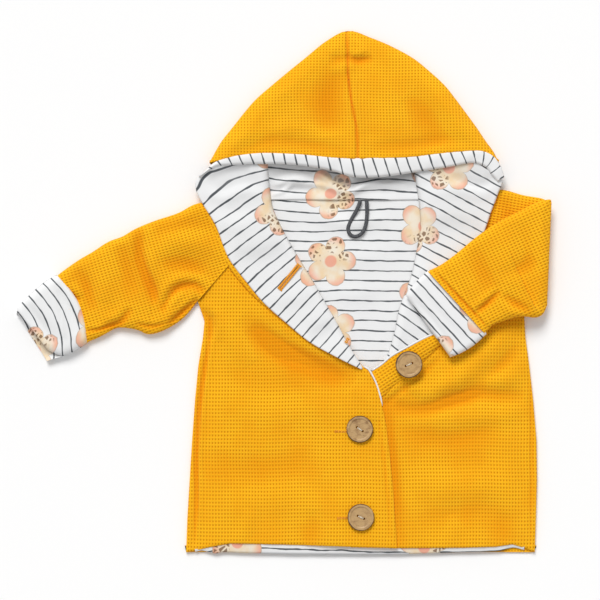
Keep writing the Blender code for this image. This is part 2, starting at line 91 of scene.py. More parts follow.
def rolled(depth: Array, radius: Array | float) -> Array:
    """How high a rounded edge has risen at a depth in from it: a quarter of a circle, from 0 to 1."""
    gone = 1 - np.clip(depth / radius, 0, 1)
    return np.sqrt(np.clip(1 - gone * gone, 0, 1))


def smooth_table(table: Array, steps: int) -> Array:
    """Rows added between a table's rows on a Catmull-Rom curve.

    Args:
        table: One row a station.
        steps: How many spans each gap is split into.

    Returns:
        The finer table, which passes through every given row.
    """
    ends = np.vstack([2 * table[0] - table[1], table, 2 * table[-1] - table[-2]])
    p0, p1, p2, p3 = (ends[k : len(ends) - 3 + k, None, :] for k in range(4))
    t = (np.arange(steps) / steps)[None, :, None]
    fine = 0.5 * (2 * p1 + (p2 - p0) * t + (2 * p0 - 5 * p1 + 4 * p2 - p3) * t**2
                  + (3 * p1 - p0 - 3 * p2 + p3) * t**3)
    return np.vstack([fine.reshape(-1, table.shape[1]), table[-1:]])


def even_route(points: Sequence[Sequence[float]], spacing: float) -> Array:
    """Points at an even spacing on a smooth curve through the given ones."""
    fine = smooth_table(np.array(points, float), 16)
    run = np.concatenate([[0], np.cumsum(np.linalg.norm(np.diff(fine, axis=0), axis=1))])
    place = np.linspace(0, run[-1], max(2, round(run[-1] / spacing) + 1))
    return np.stack([np.interp(place, run, column) for column in fine.T], axis=1)


@dataclass
class Nearest:
    """Where points lie beside a line: distance, side (+1 left), share along it, place and left normal."""

    away: Array
    side: Array
    share: Array
    place: Array
    normal: Array


def beside(points: Array, line: Array) -> Nearest:
    """Measure points against a line: each takes the nearest place on the nearest of its straight parts.

    Args:
        points: N x 2 places.
        line: M x 2 corners of the line.

    Returns:
        The nearest place and what goes with it, for every point.
    """
    spans = np.diff(line, axis=0)
    lengths = np.maximum(np.hypot(spans[:, 0], spans[:, 1]), 1e-9)
    starts = np.concatenate([[0], np.cumsum(lengths)])
    count = len(points)
    found = Nearest(np.full(count, np.inf), np.ones(count), np.zeros(count), np.zeros((count, 2)),
                    np.zeros((count, 2)))
    for corner, span, length, start in zip(line, spans, lengths, starts):
        offset = points - corner
        part = np.clip(offset @ span / length**2, 0, 1)
        away = np.hypot(offset[:, 0] - part * span[0], offset[:, 1] - part * span[1])
        closer = away < found.away
        found.away = np.where(closer, away, found.away)
        left = span[0] * offset[:, 1] - span[1] * offset[:, 0]
        found.side = np.where(closer, np.where(left >= 0, 1.0, -1.0), found.side)
        found.share = np.where(closer, (start + part * length) / starts[-1], found.share)
        found.place = np.where(closer[:, None], corner + part[:, None] * span, found.place)
        found.normal = np.where(closer[:, None], np.array([-span[1], span[0]]) / length, found.normal)
    return found


def encloses(outline: Array, points: Array) -> Array:
    """Which points lie inside a closed outline, by counting the sides to the right of each."""
    inside = np.zeros(len(points), bool)
    x, y = points.T
    for (x0, y0), (x1, y1) in zip(outline, np.roll(outline, -1, axis=0)):
        if y0 != y1:
            crosses = ((y0 > y) != (y1 > y)) & (x < x0 + (y - y0) * (x1 - x0) / (y1 - y0))
            inside ^= crosses
    return inside


def shoelace(outline: Array) -> float:
    """The signed area inside an outline, in square mm: positive where it runs anticlockwise."""
    x, y = outline.T
    return float(np.sum(x * np.roll(y, -1) - np.roll(x, -1) * y) / 2)


@dataclass(frozen=True)
class Crease:
    """A soft trough along a route, or a ridge where depth is above 0, with a lower lip on its left."""

    route: tuple[Point, ...]
    width: float
    depth: float
    lip: float = 0.0

    def lift(self, xy: Array) -> Array:
        """How far the cloth rises: a bell across the route that fades to both of its ends."""
        near = beside(xy, even_route(self.route, 6.0))
        fade = np.sin(math.pi * np.clip(near.share, 0, 1)) ** 0.7
        across = near.side * near.away / self.width
        lip = self.lip * np.exp(-(((across - 1.9) / 1.2) ** 2))
        return fade * (self.depth * np.exp(-across * across) + lip)


def creased(xy: Array, creases: Sequence[Crease]) -> Array:
    """The sum of all the creases' lifts."""
    total = np.zeros(len(xy))
    for crease in creases:
        total += crease.lift(xy)
    return total


def painted_fold_shade(points: Array, valleys: Sequence[Crease]) -> Array:
    """How much painted shade each point takes in a fold, from 0 to 1: the creases' fall as a share of
    CREASE_FULL.
    """
    return np.clip(-creased(points[:, :2], valleys) / CREASE_FULL, 0, 1) ** 0.8


def billow(xy: Array, height: float) -> Array:
    """The cloth's own unevenness: four long crossing waves whose lengths share no factor."""
    x, y = xy.T
    waves = (np.sin(x / 11.3 + y / 29.0 + 0.7) + np.sin(x / 23.7 - y / 13.1 + 2.1)
             + 0.8 * np.sin(y / 17.9 + x / 61.0) + 0.6 * np.sin(x / 7.9 + y / 9.7 + 1.3))
    return height * waves / 3.4


@dataclass(frozen=True)
class Weave:
    """How a cloth is laid out: a cell's width and length, its parts, the grain's angle and its sway."""

    cell: Point
    parts: int = 4
    grain: float = 0.0
    waver: float = 0.3

    def split(self, parts: int) -> "Weave":
        """The same cloth, split into another number of parts a cell."""
        return replace(self, parts=parts)


BODY_WEAVE = Weave((2.72, 3.35))
LAPEL_RIGHT_WEAVE = Weave((2.72, 3.35), grain=30.0)
EDGE_ROLL_WEAVE = Weave((2.72, 3.35), grain=-58.0)
HOOD_WEAVE = Weave((2.84, 2.7))
ARM_RIGHT_WEAVE = Weave((2.45, 3.25), grain=107.0)
ARM_LEFT_WEAVE = Weave((2.45, 3.25), grain=80.0)
FOREARM_WEAVE = Weave((2.6, 3.45), grain=115.0)
BACK_LINING_WEAVE = Weave((2.0, 2.0), 1)
HOOD_LINING_WEAVE = Weave((1.5, 1.5), 1)
CUFF_RIGHT_WEAVE = Weave((1.25, 1.25), 1)
CUFF_RIGHT_BED_WEAVE = Weave((1.6, 1.6), 1)
CUFF_LEFT_WEAVE = Weave((1.1, 1.1), 1)
CUFF_LEFT_BED_WEAVE = Weave((2.2, 2.2), 1)


@dataclass
class Lattice:
    """Cloth cut along an outline from a lattice of threads, still flat.

    xy: places; threads: distances along the two threads; faces: four corners each; depth: how far
    in from the outline; inward: the way in from the outline.
    """

    xy: Array
    threads: Array
    faces: Array
    depth: Array
    inward: Array


def grid_faces(number: Array) -> Array:
    """Faces of four corners between the neighbours in a grid of point numbers."""
    corners = (number[:-1, :-1], number[:-1, 1:], number[1:, 1:], number[1:, :-1])
    return np.stack(corners, axis=2).reshape(-1, 4)


def woven(outline: Array, weave: Weave) -> Lattice:
    """Cut cloth along an outline.

    The lattice's places are (i, j) times its steps, swayed by slow sines and turned by the grain's
    angle. The ones just outside the outline are drawn onto it, and the rest are left out.

    Args:
        outline: M x 2 corners.
        weave: The lattice.

    Returns:
        The flat cloth. Its threads count a cell as CELL whatever its size.
    """
    outline = np.array(outline, float)
    if shoelace(outline) < 0:
        outline = outline[::-1]
    step = np.array(weave.cell) / weave.parts
    turn = math.radians(weave.grain)
    axes = np.array([[math.cos(turn), math.sin(turn)], [-math.sin(turn), math.cos(turn)]])
    local = outline @ axes.T
    low = np.floor(local.min(axis=0) / step).astype(int) - 3
    high = np.ceil(local.max(axis=0) / step).astype(int) + 4
    i, j = np.meshgrid(np.arange(low[0], high[0]), np.arange(low[1], high[1]))
    index = np.stack([i.ravel(), j.ravel()], axis=1)
    x, y = (index * step).T
    sway = np.stack([np.sin(y / 17.0 + 0.4) + 0.5 * np.sin(y / 7.3),
                     np.sin(x / 21.0) + 0.5 * np.sin(x / 8.7)], axis=1)
    xy = (index * step + weave.waver * sway) @ axes
    near = beside(xy, np.vstack([outline, outline[:1]]))
    inside = encloses(outline, xy) & (near.away > 0.2 * step.min())
    quads = grid_faces(np.arange(len(xy)).reshape(i.shape))
    quads = quads[inside[quads].any(axis=1)]
    kept, faces = np.unique(quads, return_inverse=True)
    xy = np.where(inside[:, None], xy, near.place)
    depth = np.where(inside, near.away, 0.0)
    threads = index * (CELL / weave.parts)
    return Lattice(xy[kept], threads[kept], faces.reshape(-1, 4), depth[kept], near.normal[kept])


def waffle_relief(cloth: Lattice, height: float = RELIEF) -> Array:
    """The waffle's pits, below 0: a raised cosine over each rib and a lower one over each bar."""
    waves = 0.5 + 0.5 * np.cos(2 * math.pi * cloth.threads / CELL)
    threads = np.maximum(waves[:, 0], BAR_SHARE * waves[:, 1]) ** 0.7
    return height * (threads - 1) * ease(cloth.depth / FLAT_EDGE)


@dataclass
class Surface:
    """Points in mm, faces of four corners, and each point's place along the threads."""

    points: Array
    faces: Array
    threads: Array

    def joined(self, other: "Surface") -> "Surface":
        """This surface and another as one."""
        return Surface(np.vstack([self.points, other.points]),
                       np.vstack([self.faces, other.faces + len(self.points)]),
                       np.vstack([self.threads, other.threads]))


def lifted(cloth: Lattice, z: Array, below: bool = False) -> Surface:
    """Flat cloth raised to its heights, facing down where it is an underside."""
    faces = cloth.faces[:, ::-1] if below else cloth.faces
    return Surface(np.column_stack([cloth.xy, z]), faces, cloth.threads)


def hemmed(cloth: Lattice, z: Array, fall: float, tuck: float) -> Surface:
    """Raise flat cloth and turn its edge under.

    Args:
        cloth: The flat cloth.
        z: Its points' heights.
        fall: How far the edge falls, the cloth's thickness.
        tuck: How far the edge is then turned in beneath.

    Returns:
        The cloth with its rim and hem.
    """
    a, b = cloth.faces.ravel(), np.roll(cloth.faces, -1, axis=1).ravel()
    pairs = np.sort(np.stack([a, b], axis=1), axis=1)
    _, where, uses = np.unique(pairs, axis=0, return_inverse=True, return_counts=True)
    rim = uses[where.ravel()] == 1
    a, b = a[rim], b[rim]
    edge = np.unique(np.concatenate([a, b]))
    number = np.full(len(cloth.xy), -1)
    number[edge] = np.arange(len(edge))
    first, second = len(cloth.xy), len(cloth.xy) + len(edge)
    low = np.column_stack([cloth.xy[edge], z[edge] - fall])
    tucked = np.column_stack([cloth.xy[edge] + cloth.inward[edge] * tuck, z[edge] - fall])
    side = np.stack([a, first + number[a], first + number[b], b], axis=1)
    under = np.stack([first + number[a], second + number[a], second + number[b], first + number[b]], axis=1)
    return Surface(np.vstack([np.column_stack([cloth.xy, z]), low, tucked]),
                   np.vstack([cloth.faces, side, under]),
                   np.vstack([cloth.threads, cloth.threads[edge] + 1, cloth.threads[edge] + 2]))


def grid_surface(points: Array, threads: Array, around: bool = False) -> Surface:
    """A grid of points, rows by columns, as one surface; around joins its last column to its first."""
    rows, columns = points.shape[:2]
    number = np.arange(rows * columns).reshape(rows, columns)
    if around:
        number = np.hstack([number, number[:, :1]])
    return Surface(points.reshape(-1, 3), grid_faces(number), threads.reshape(-1, 2))


def face_up(surface: Surface) -> Surface:
    """The same surface, turned over if most of its faces point down."""
    a, b, c = (surface.points[surface.faces[:, k]] for k in range(3))
    if np.cross(b - a, c - b)[:, 2].sum() < 0:
        surface.faces = surface.faces[:, ::-1]
    return surface


def heading(degrees: float) -> tuple[Array, Array]:
    """The level direction at an angle, and the one square to it on its left."""
    turn = math.radians(degrees)
    return np.array([math.cos(turn), math.sin(turn), 0]), np.array([-math.sin(turn), math.cos(turn), 0])


def rings(across: Array, up: Array, sides: int) -> Array:
    """The points of a unit circle round each place, on its two directions square to the run."""
    angle = np.linspace(0, 2 * math.pi, sides, endpoint=False)[None, :, None]
    return np.cos(angle) * across[:, None, :] + np.sin(angle) * up[:, None, :]


def tube_surface(route: Array, radius: Array | float, sides: int, braid: float = 0.0) -> Surface:
    """A tube along a route, closed at its ends, with a crossed twist of the braid's height.

    Each ring is a circle of the radius, square to the route. The braid adds the larger of two
    sines that turn in opposite ways round the tube as they run along it.
    """
    radius = np.broadcast_to(np.asarray(radius, float), (len(route),)).copy()
    radius[[0, -1]] = 0.0
    run = np.gradient(route, axis=0)
    run /= np.maximum(np.linalg.norm(run, axis=1, keepdims=True), 1e-9)
    across = np.cross(run, [0, 0, 1.0])
    across /= np.maximum(np.linalg.norm(across, axis=1, keepdims=True), 1e-9)
    up = np.cross(across, run)
    along = np.concatenate([[0], np.cumsum(np.linalg.norm(np.diff(route, axis=0), axis=1))])
    angle = np.linspace(0, 2 * math.pi, sides, endpoint=False)
    turned, run_on = 2 * angle[None], BRAID_TURN * along[:, None]
    twist = np.maximum(np.sin(turned + run_on), np.sin(turned - run_on))
    reach = radius[:, None] + braid * twist * (radius[:, None] > 0)
    points = route[:, None, :] + rings(across, up, sides) * reach[:, :, None]
    threads = np.stack(np.broadcast_arrays(along[:, None], angle[None] * radius.max()), axis=2)
    return grid_surface(points, threads, around=True)


def bars(starts: Array, ends: Array, radius: float) -> Surface:
    """Many short round stitches at once, each a six-sided bar that swells to its middle.

    Args:
        starts: N x 3 places where the thread comes up.
        ends: N x 3 places where it goes down.
        radius: Half the thread's thickness.

    Returns:
        All the stitches as one surface.
    """
    station = np.array([0.0, 0.25, 0.75, 1.0])
    swell = np.array([0.15, 1.0, 1.0, 0.15]) * radius
    run = ends - starts
    run = run / np.maximum(np.linalg.norm(run, axis=1, keepdims=True), 1e-9)
    across = np.cross(run, [0, 0, 1.0])
    up = np.cross(across, run)
    middle = starts[:, None, :] + (ends - starts)[:, None, :] * station[None, :, None]
    circle = rings(across, up, STITCH_SIDES)
    points = middle[:, :, None, :] + swell[None, :, None, None] * circle[:, None, :, :]
    shape = (len(starts), len(station), STITCH_SIDES)
    number = np.arange(math.prod(shape)).reshape(shape)
    turned = np.roll(number, -1, axis=2)
    faces = np.stack([number[:, :-1], turned[:, :-1], turned[:, 1:], number[:, 1:]], axis=3).reshape(-1, 4)
    flat = points.reshape(-1, 3)
    return Surface(flat, faces, flat[:, :2])


class Slot(Enum):
    """The record's material slots."""

    MUSTARD = "mustard_waffle"
    STRIPED = "striped_jersey"
    SHELL = "coconut_shell"
    CORD = "grey_cord"


class Graph:
    """Short ways to add nodes to a tree and join them."""

    def __init__(self, tree: bpy.types.NodeTree) -> None:
        """Keep the tree that the nodes go into."""
        self.tree = tree

    def node(self, kind: str, **settings: object) -> bpy.types.Node:
        """Add a node of a kind with its settings."""
        made = self.tree.nodes.new(kind)
        for name, value in settings.items():
            setattr(made, name, value)
        return made

    def feed(self, socket: bpy.types.NodeSocket, value: object) -> None:
        """Join a socket to another, or give it a value."""
        if isinstance(value, bpy.types.NodeSocket):
            self.tree.links.new(value, socket)
        elif isinstance(value, tuple) and len(value) == 3 and socket.type == "RGBA":
            socket.default_value = (*value, 1.0)
        else:
            socket.default_value = value

    def math(self, operation: str, *values: object) -> bpy.types.NodeSocket:
        """A Math node's result."""
        made = self.node("ShaderNodeMath", operation=operation)
        for socket, value in zip(made.inputs, values):
            self.feed(socket, value)
        return made.outputs[0]

    def times(self, first: object, second: object) -> bpy.types.NodeSocket:
        """The product of two values."""
        return self.math("MULTIPLY", first, second)

    def plus(self, first: object, second: object) -> bpy.types.NodeSocket:
        """The sum of two values."""
        return self.math("ADD", first, second)

    def minus(self, first: object, second: object) -> bpy.types.NodeSocket:
        """The first value less the second."""
        return self.math("SUBTRACT", first, second)

    def vector(self, operation: str, *values: object) -> bpy.types.Node:
        """A Vector Math node."""
        made = self.node("ShaderNodeVectorMath", operation=operation)
        for socket, value in zip(made.inputs, values):
            self.feed(socket, value)
        return made

    def span(self, value: object, low: float, high: float, to_low: float = 0.0,
             to_high: float = 1.0) -> bpy.types.NodeSocket:
        """A soft step of a value from one range to another."""
        made = self.node("ShaderNodeMapRange", interpolation_type="SMOOTHSTEP")
        for socket, item in zip(made.inputs, (value, low, high, to_low, to_high)):
            self.feed(socket, item)
        return made.outputs["Result"]

    def blend(self, factor: object, first: object, second: object) -> bpy.types.NodeSocket:
        """One colour over another, by a factor."""
        made = self.node("ShaderNodeMix", data_type="RGBA")
        self.feed(made.inputs["Factor"], factor)
        self.feed(made.inputs[6], first)
        self.feed(made.inputs[7], second)
        return made.outputs[2]

    def noise(self, vector: object, scale: float, detail: float = 2.0) -> bpy.types.NodeSocket:
        """A noise texture's value, about 0 to 1."""
        made = self.node("ShaderNodeTexNoise")
        self.feed(made.inputs["Vector"], vector)
        made.inputs["Scale"].default_value = scale
        made.inputs["Detail"].default_value = detail
        return made.outputs["Fac"]

    def split(self, vector: object) -> bpy.types.Node:
        """A vector's x, y and z."""
        made = self.node("ShaderNodeSeparateXYZ")
        self.feed(made.inputs[0], vector)
        return made


def new_group(name: str, inputs: dict[str, float],
              outputs: Sequence[str]) -> tuple[bpy.types.NodeTree, Graph, bpy.types.Node, bpy.types.Node]:
    """An empty node group with its sockets.

    Args:
        name: The group's name.
        inputs: The names and defaults of the numbers that it takes beside a vector.
        outputs: The outputs' names, all numbers.

    Returns:
        The group, its graph, and its input and output nodes.
    """
    tree = bpy.data.node_groups.new(name, "ShaderNodeTree")
    tree.interface.new_socket("Vector", in_out="INPUT", socket_type="NodeSocketVector")
    for label, default in inputs.items():
        socket = tree.interface.new_socket(label, in_out="INPUT", socket_type="NodeSocketFloat")
        socket.default_value = default
    for label in outputs:
        tree.interface.new_socket(label, in_out="OUTPUT", socket_type="NodeSocketFloat")
    graph = Graph(tree)
    return tree, graph, graph.node("NodeGroupInput"), graph.node("NodeGroupOutput")


def waffle_group() -> bpy.types.NodeTree:
    """Masks of a waffle knit: Ridge is 1 on the threads and 0 in the pits, Yarn is fine fluff."""
    tree, graph, given, result = new_group("waffle_knit", {"Cell": CELL}, ["Ridge", "Yarn"])
    place = graph.split(given.outputs["Vector"])
    waves = []
    for axis in ("X", "Y"):
        cells = graph.math("DIVIDE", place.outputs[axis], given.outputs["Cell"])
        turn = graph.times(cells, 2 * math.pi)
        waves.append(graph.math("MULTIPLY_ADD", graph.math("COSINE", turn), 0.5, 0.5))
    bar = graph.times(waves[1], 0.7)
    graph.feed(result.inputs["Ridge"], graph.math("POWER", graph.math("MAXIMUM", waves[0], bar), 0.65))
    graph.feed(result.inputs["Yarn"], graph.noise(given.outputs["Vector"], 1.9, 3.0))
    return tree


def stripe_group() -> bpy.types.NodeTree:
    """A mask of thin hand-drawn lines square to the vector's Y, which waver and thin out on their way."""
    tree, graph, given, result = new_group("drawn_stripes", {"Pitch": 9.0, "Width": 0.85, "Waver": 1.3},
                                           ["Line"])
    vector = given.outputs["Vector"]
    y = graph.split(vector).outputs["Y"]
    sway = graph.minus(graph.noise(vector, 0.045, 2.0), 0.5)
    y = graph.math("MULTIPLY_ADD", sway, graph.times(given.outputs["Waver"], 2.0), y)
    row = graph.math("DIVIDE", y, given.outputs["Pitch"])
    off = graph.math("ABSOLUTE", graph.minus(graph.math("FRACT", row), 0.5))
    off = graph.times(off, given.outputs["Pitch"])
    half = graph.times(given.outputs["Width"],
                      graph.span(graph.noise(vector, 0.11, 1.0), 0.25, 0.75, 0.34, 0.66))
    soft = graph.plus(half, 0.22)
    graph.feed(result.inputs["Line"], graph.span(off, graph.minus(half, 0.12), soft, 1.0, 0.0))
    return tree


def flower_group() -> bpy.types.NodeTree:
    """Masks of a five-petal flower repeated in a half-drop: each cell's place is measured from its middle,
    and the petals' reach is Size * (0.6 + 0.4 |cos 2.5 a|) at an angle a."""
    tree, graph, given, result = new_group("half_drop_flowers", {"Wide": 84.0, "High": 62.0, "Size": 23.0},
                                           ["Petal", "Outline", "Tip", "Eye", "Speck"])
    vector = given.outputs["Vector"]
    place = graph.split(vector)
    column = graph.math("DIVIDE", place.outputs["X"], given.outputs["Wide"])
    number = graph.math("FLOOR", column)
    drop = graph.times(graph.math("PINGPONG", number, 1.0), 0.5)
    row = graph.plus(graph.math("DIVIDE", place.outputs["Y"], given.outputs["High"]), drop)
    across = graph.times(graph.minus(graph.math("FRACT", column), 0.5), given.outputs["Wide"])
    up = graph.times(graph.minus(graph.math("FRACT", row), 0.5), given.outputs["High"])
    far = graph.math("SQRT", graph.plus(graph.times(across, across), graph.times(up, up)))
    spin = graph.plus(graph.times(number, 0.9), graph.times(graph.math("FLOOR", row), 1.7))
    angle = graph.plus(graph.math("ARCTAN2", up, across), spin)
    lobe = graph.math("ABSOLUTE", graph.math("COSINE", graph.times(angle, 2.5)))
    reach = graph.times(given.outputs["Size"],
                       graph.math("MULTIPLY_ADD", graph.math("POWER", lobe, 0.7), 0.42, 0.58))
    wash = graph.times(graph.minus(graph.noise(vector, 0.3, 3.0), 0.5), 1.6)
    inset = graph.plus(graph.minus(reach, far), wash)
    graph.feed(result.inputs["Petal"], graph.span(inset, -0.3, 0.5))
    edge = graph.math("ABSOLUTE", graph.minus(inset, 0.3))
    graph.feed(result.inputs["Outline"], graph.span(edge, 0.1, 0.9, 0.55, 0.0))
    share = graph.math("DIVIDE", far, given.outputs["Size"])
    graph.feed(result.inputs["Tip"], graph.times(graph.span(share, 0.62, 0.98), graph.span(inset, 0.0, 1.0)))
    graph.feed(result.inputs["Eye"], graph.span(share, 0.26, 0.2, 0.0, 1.0))
    cells = graph.node("ShaderNodeTexVoronoi", feature="DISTANCE_TO_EDGE")
    graph.feed(cells.inputs["Vector"], vector)
    cells.inputs["Scale"].default_value = 0.21
    patch = graph.span(cells.outputs["Distance"], 0.13, 0.2)
    ring = graph.times(graph.span(share, 0.3, 0.36), graph.span(graph.math("SINE", angle), -0.1, 0.25))
    graph.feed(result.inputs["Speck"], graph.times(graph.times(patch, ring),
                                                  graph.span(inset, 0.8, 1.8)))
    return tree


def group_node(graph: Graph, tree: bpy.types.NodeTree, **values: object) -> bpy.types.Node:
    """Place a node group and give its inputs their values."""
    made = graph.node("ShaderNodeGroup", node_tree=tree)
    for name, value in values.items():
        graph.feed(made.inputs[name], value)
    return made


def start_material(name: str) -> tuple[bpy.types.Material, Graph, bpy.types.Node]:
    """A new material with its graph and Principled shader."""
    made = bpy.data.materials.new(name)
    made.use_nodes = True
    return made, Graph(made.node_tree), made.node_tree.nodes["Principled BSDF"]


def add_bump(graph: Graph, shader: bpy.types.Node, height: object, distance: float, strength: float) -> None:
    """Give a shader a bump from a height, in metres."""
    bump = graph.node("ShaderNodeBump")
    bump.inputs["Distance"].default_value = distance
    bump.inputs["Strength"].default_value = strength
    graph.feed(bump.inputs["Height"], height)
    graph.feed(shader.inputs["Normal"], bump.outputs["Normal"])


@dataclass(frozen=True)
class WaffleFinish:
    """Mustard cotton in a waffle knit: the yarn's colour on the threads, painted shade in the pits and in the
    folds, with a soft fluff.
    """

    thread: Colour = (1.0, 0.515, 0.013)
    painted_pit_shade_and_fluff: Colour = (0.6, 0.205, 0.0)
    worn: Colour = (0.9, 0.36, 0.006)
    painted_fold_colour: Colour = (0.8, 0.235, 0.0)

    def material(self, knit: bpy.types.NodeTree) -> bpy.types.Material:
        """Build the finish round the knit's group."""
        made, graph, shader = start_material("mustard waffle knit")
        place = graph.node("ShaderNodeUVMap", uv_map=THREADS).outputs[0]
        cells = group_node(graph, knit, Vector=place, Cell=CELL)
        ridge, yarn = cells.outputs["Ridge"], cells.outputs["Yarn"]
        broad = graph.noise(place, 0.028, 3.0)
        fold = graph.node("ShaderNodeAttribute", attribute_name=PAINTED_SHADE_ATTRIBUTE).outputs["Fac"]
        # Painted shade in the pits: the knit's hollows take a darker colour
        base = graph.blend(graph.span(ridge, 0.05, 0.8), self.painted_pit_shade_and_fluff, self.thread)
        base = graph.blend(graph.span(broad, 0.38, 0.68, 0.0, 0.4), base, self.worn)
        # Painted shade in the creases: the fold attribute darkens the colour towards a shade colour
        base = graph.blend(graph.times(fold, 0.6), base, self.painted_fold_colour)
        # Random fluff, darkened towards the same colour as the painted pit shade
        base = graph.blend(graph.span(yarn, 0.3, 0.75, 0.14, 0.0), base, self.painted_pit_shade_and_fluff)
        graph.feed(shader.inputs["Base Color"], base)
        shader.inputs["Roughness"].default_value = 0.95
        shader.inputs["Sheen Weight"].default_value = 0.03
        shader.inputs["Sheen Roughness"].default_value = 0.6
        shader.inputs["Specular IOR Level"].default_value = 0.08
        height = graph.plus(graph.times(ridge, 0.75), graph.times(yarn, 0.35))
        add_bump(graph, shader, height, 0.0006, 0.7)
        return made


@dataclass(frozen=True)
class JerseyFinish:
    """Off-white cotton jersey printed with thin drawn stripes and loose flowers."""

    name: str
    width: float = 1.15
    flowers: bool = True
    shift: tuple[float, float, float] = (0.0, 0.0, 0.0)
    cloth: Colour = (0.84, 0.845, 0.85)
    line: Colour = (0.03, 0.04, 0.05)
    petal: Colour = (0.86, 0.66, 0.42)
    cream: Colour = (0.87, 0.8, 0.68)
    coral: Colour = (0.86, 0.36, 0.25)
    brown: Colour = (0.1, 0.045, 0.02)
    patch: Colour = (0.2, 0.1, 0.045)
    shadow: Colour = (0.42, 0.42, 0.43)

    def material(self, stripes: bpy.types.NodeTree, flowers: bpy.types.NodeTree) -> bpy.types.Material:
        """Build the finish round the two prints' groups."""
        made, graph, shader = start_material(self.name)
        place = graph.node("ShaderNodeUVMap", uv_map=THREADS).outputs[0]
        line = group_node(graph, stripes, Vector=place, Width=self.width).outputs["Line"]
        base = graph.blend(graph.times(line, 0.93), self.cloth, self.line)
        if self.flowers:
            moved = graph.vector("ADD", place, self.shift).outputs[0]
            print_masks = group_node(graph, flowers, Vector=moved)
            wash = graph.span(graph.noise(place, 0.08, 3.0), 0.3, 0.7)
            petal = graph.blend(wash, self.petal, self.cream)
            base = graph.blend(print_masks.outputs["Petal"], base, petal)
            base = graph.blend(graph.times(print_masks.outputs["Tip"], 0.75), base, self.coral)
            base = graph.blend(graph.times(print_masks.outputs["Outline"], 0.6), base, self.brown)
            base = graph.blend(graph.times(print_masks.outputs["Eye"], 0.85), base, self.coral)
            base = graph.blend(graph.times(print_masks.outputs["Speck"], 0.85), base, self.patch)
        fold = graph.node("ShaderNodeAttribute", attribute_name=PAINTED_SHADE_ATTRIBUTE).outputs["Fac"]
        base = graph.blend(graph.times(fold, 0.4), base, self.shadow)
        graph.feed(shader.inputs["Base Color"], base)
        shader.inputs["Roughness"].default_value = 0.85
        shader.inputs["Sheen Weight"].default_value = 0.08
        shader.inputs["Specular IOR Level"].default_value = 0.25
        wales = graph.split(place)
        knit = graph.times(graph.math("SINE", graph.times(wales.outputs["X"], 7.0)),
                          graph.math("SINE", graph.times(wales.outputs["Y"], 9.0)))
        height = graph.plus(graph.times(knit, 0.25), graph.noise(place, 1.4, 2.0))
        add_bump(graph, shader, height, 0.00025, 0.5)
        return made


@dataclass(frozen=True)
class ShellFinish:
    """Sanded coconut shell: a mottled tan face with a darker bark rim, round the button's middle."""

    face: Colour = (0.52, 0.33, 0.145)
    dark: Colour = (0.29, 0.155, 0.06)
    bark: Colour = (0.085, 0.038, 0.018)
    mottle: float = 0.8

    def material(self, name: str, centre: Point, seed: float) -> bpy.types.Material:
        """Build the finish for a button at a place, with its own mottling."""
        made, graph, shader = start_material(name)
        place = graph.node("ShaderNodeTexCoord").outputs["Object"]
        moved = graph.node("ShaderNodeMapping")
        graph.feed(moved.inputs["Vector"], place)
        moved.inputs["Location"].default_value = (-centre[0] * MM, -centre[1] * MM, 0)
        flat = graph.vector("MULTIPLY", moved.outputs[0], (1.0, 1.0, 0.0)).outputs[0]
        far = graph.vector("LENGTH", flat).outputs["Value"]
        spread = graph.vector("ADD", moved.outputs[0], (seed, seed * 0.7, 0.0)).outputs[0]
        streak = graph.vector("MULTIPLY", spread, (1.0, 1.4, 1.0)).outputs[0]
        blotch = graph.times(graph.span(graph.noise(streak, 200.0, 5.0), 0.42, 0.72), self.mottle)
        fleck = graph.span(graph.noise(spread, 1100.0, 2.0), 0.6, 0.78)
        base = graph.blend(blotch, self.face, self.dark)
        base = graph.blend(graph.times(fleck, 0.5), base, self.bark)
        rim = graph.plus(far, graph.times(graph.noise(spread, 110.0, 2.0), 0.0022))
        base = graph.blend(graph.span(rim, 0.0121, 0.0128), base, self.bark)
        graph.feed(shader.inputs["Base Color"], base)
        graph.feed(shader.inputs["Roughness"], graph.span(blotch, 0.0, 1.0, 0.42, 0.6))
        add_bump(graph, shader, graph.plus(blotch, fleck), 0.0002, 0.5)
        return made


@dataclass(frozen=True)
class ThreadFinish:
    """Sewing thread or cord of one colour, with a fine twist."""

    name: str
    colour: Colour
    shade: Colour

    def material(self) -> bpy.types.Material:
        """Build the finish."""
        made, graph, shader = start_material(self.name)
        place = graph.node("ShaderNodeTexCoord").outputs["Object"]
        twist = graph.noise(place, 1400.0, 2.0)
        base = graph.blend(graph.span(twist, 0.35, 0.7), self.shade, self.colour)
        graph.feed(shader.inputs["Base Color"], base)
        shader.inputs["Roughness"].default_value = 0.8
        add_bump(graph, shader, twist, 0.0002, 0.6)
        return made


@dataclass
class Finishes:
    """Every material, built once and shared by the pieces."""

    waffle: bpy.types.Material
    jersey: bpy.types.Material
    cuff_jersey: bpy.types.Material
    jersey_plain: bpy.types.Material
    cord: bpy.types.Material
    mustard_thread: bpy.types.Material
    cream_thread: bpy.types.Material


def make_finishes() -> Finishes:
    """Build the groups and the materials that use them."""
    stripes, flowers = stripe_group(), flower_group()
    cuffs = JerseyFinish("striped jersey of the cuffs", shift=(20.0, 18.0, 0.0))
    return Finishes(
        waffle=WaffleFinish().material(waffle_group()),
        jersey=JerseyFinish("striped jersey").material(stripes, flowers),
        cuff_jersey=cuffs.material(stripes, flowers),
        jersey_plain=JerseyFinish("striped jersey edge", flowers=False).material(stripes, flowers),
        cord=ThreadFinish("grey cord", (0.12, 0.125, 0.135), (0.04, 0.042, 0.048)).material(),
        mustard_thread=ThreadFinish("mustard thread", (0.95, 0.47, 0.03), (0.75, 0.27, 0.01)).material(),
        cream_thread=ThreadFinish("cream thread", (0.8, 0.74, 0.62), (0.6, 0.52, 0.4)).material(),
    )


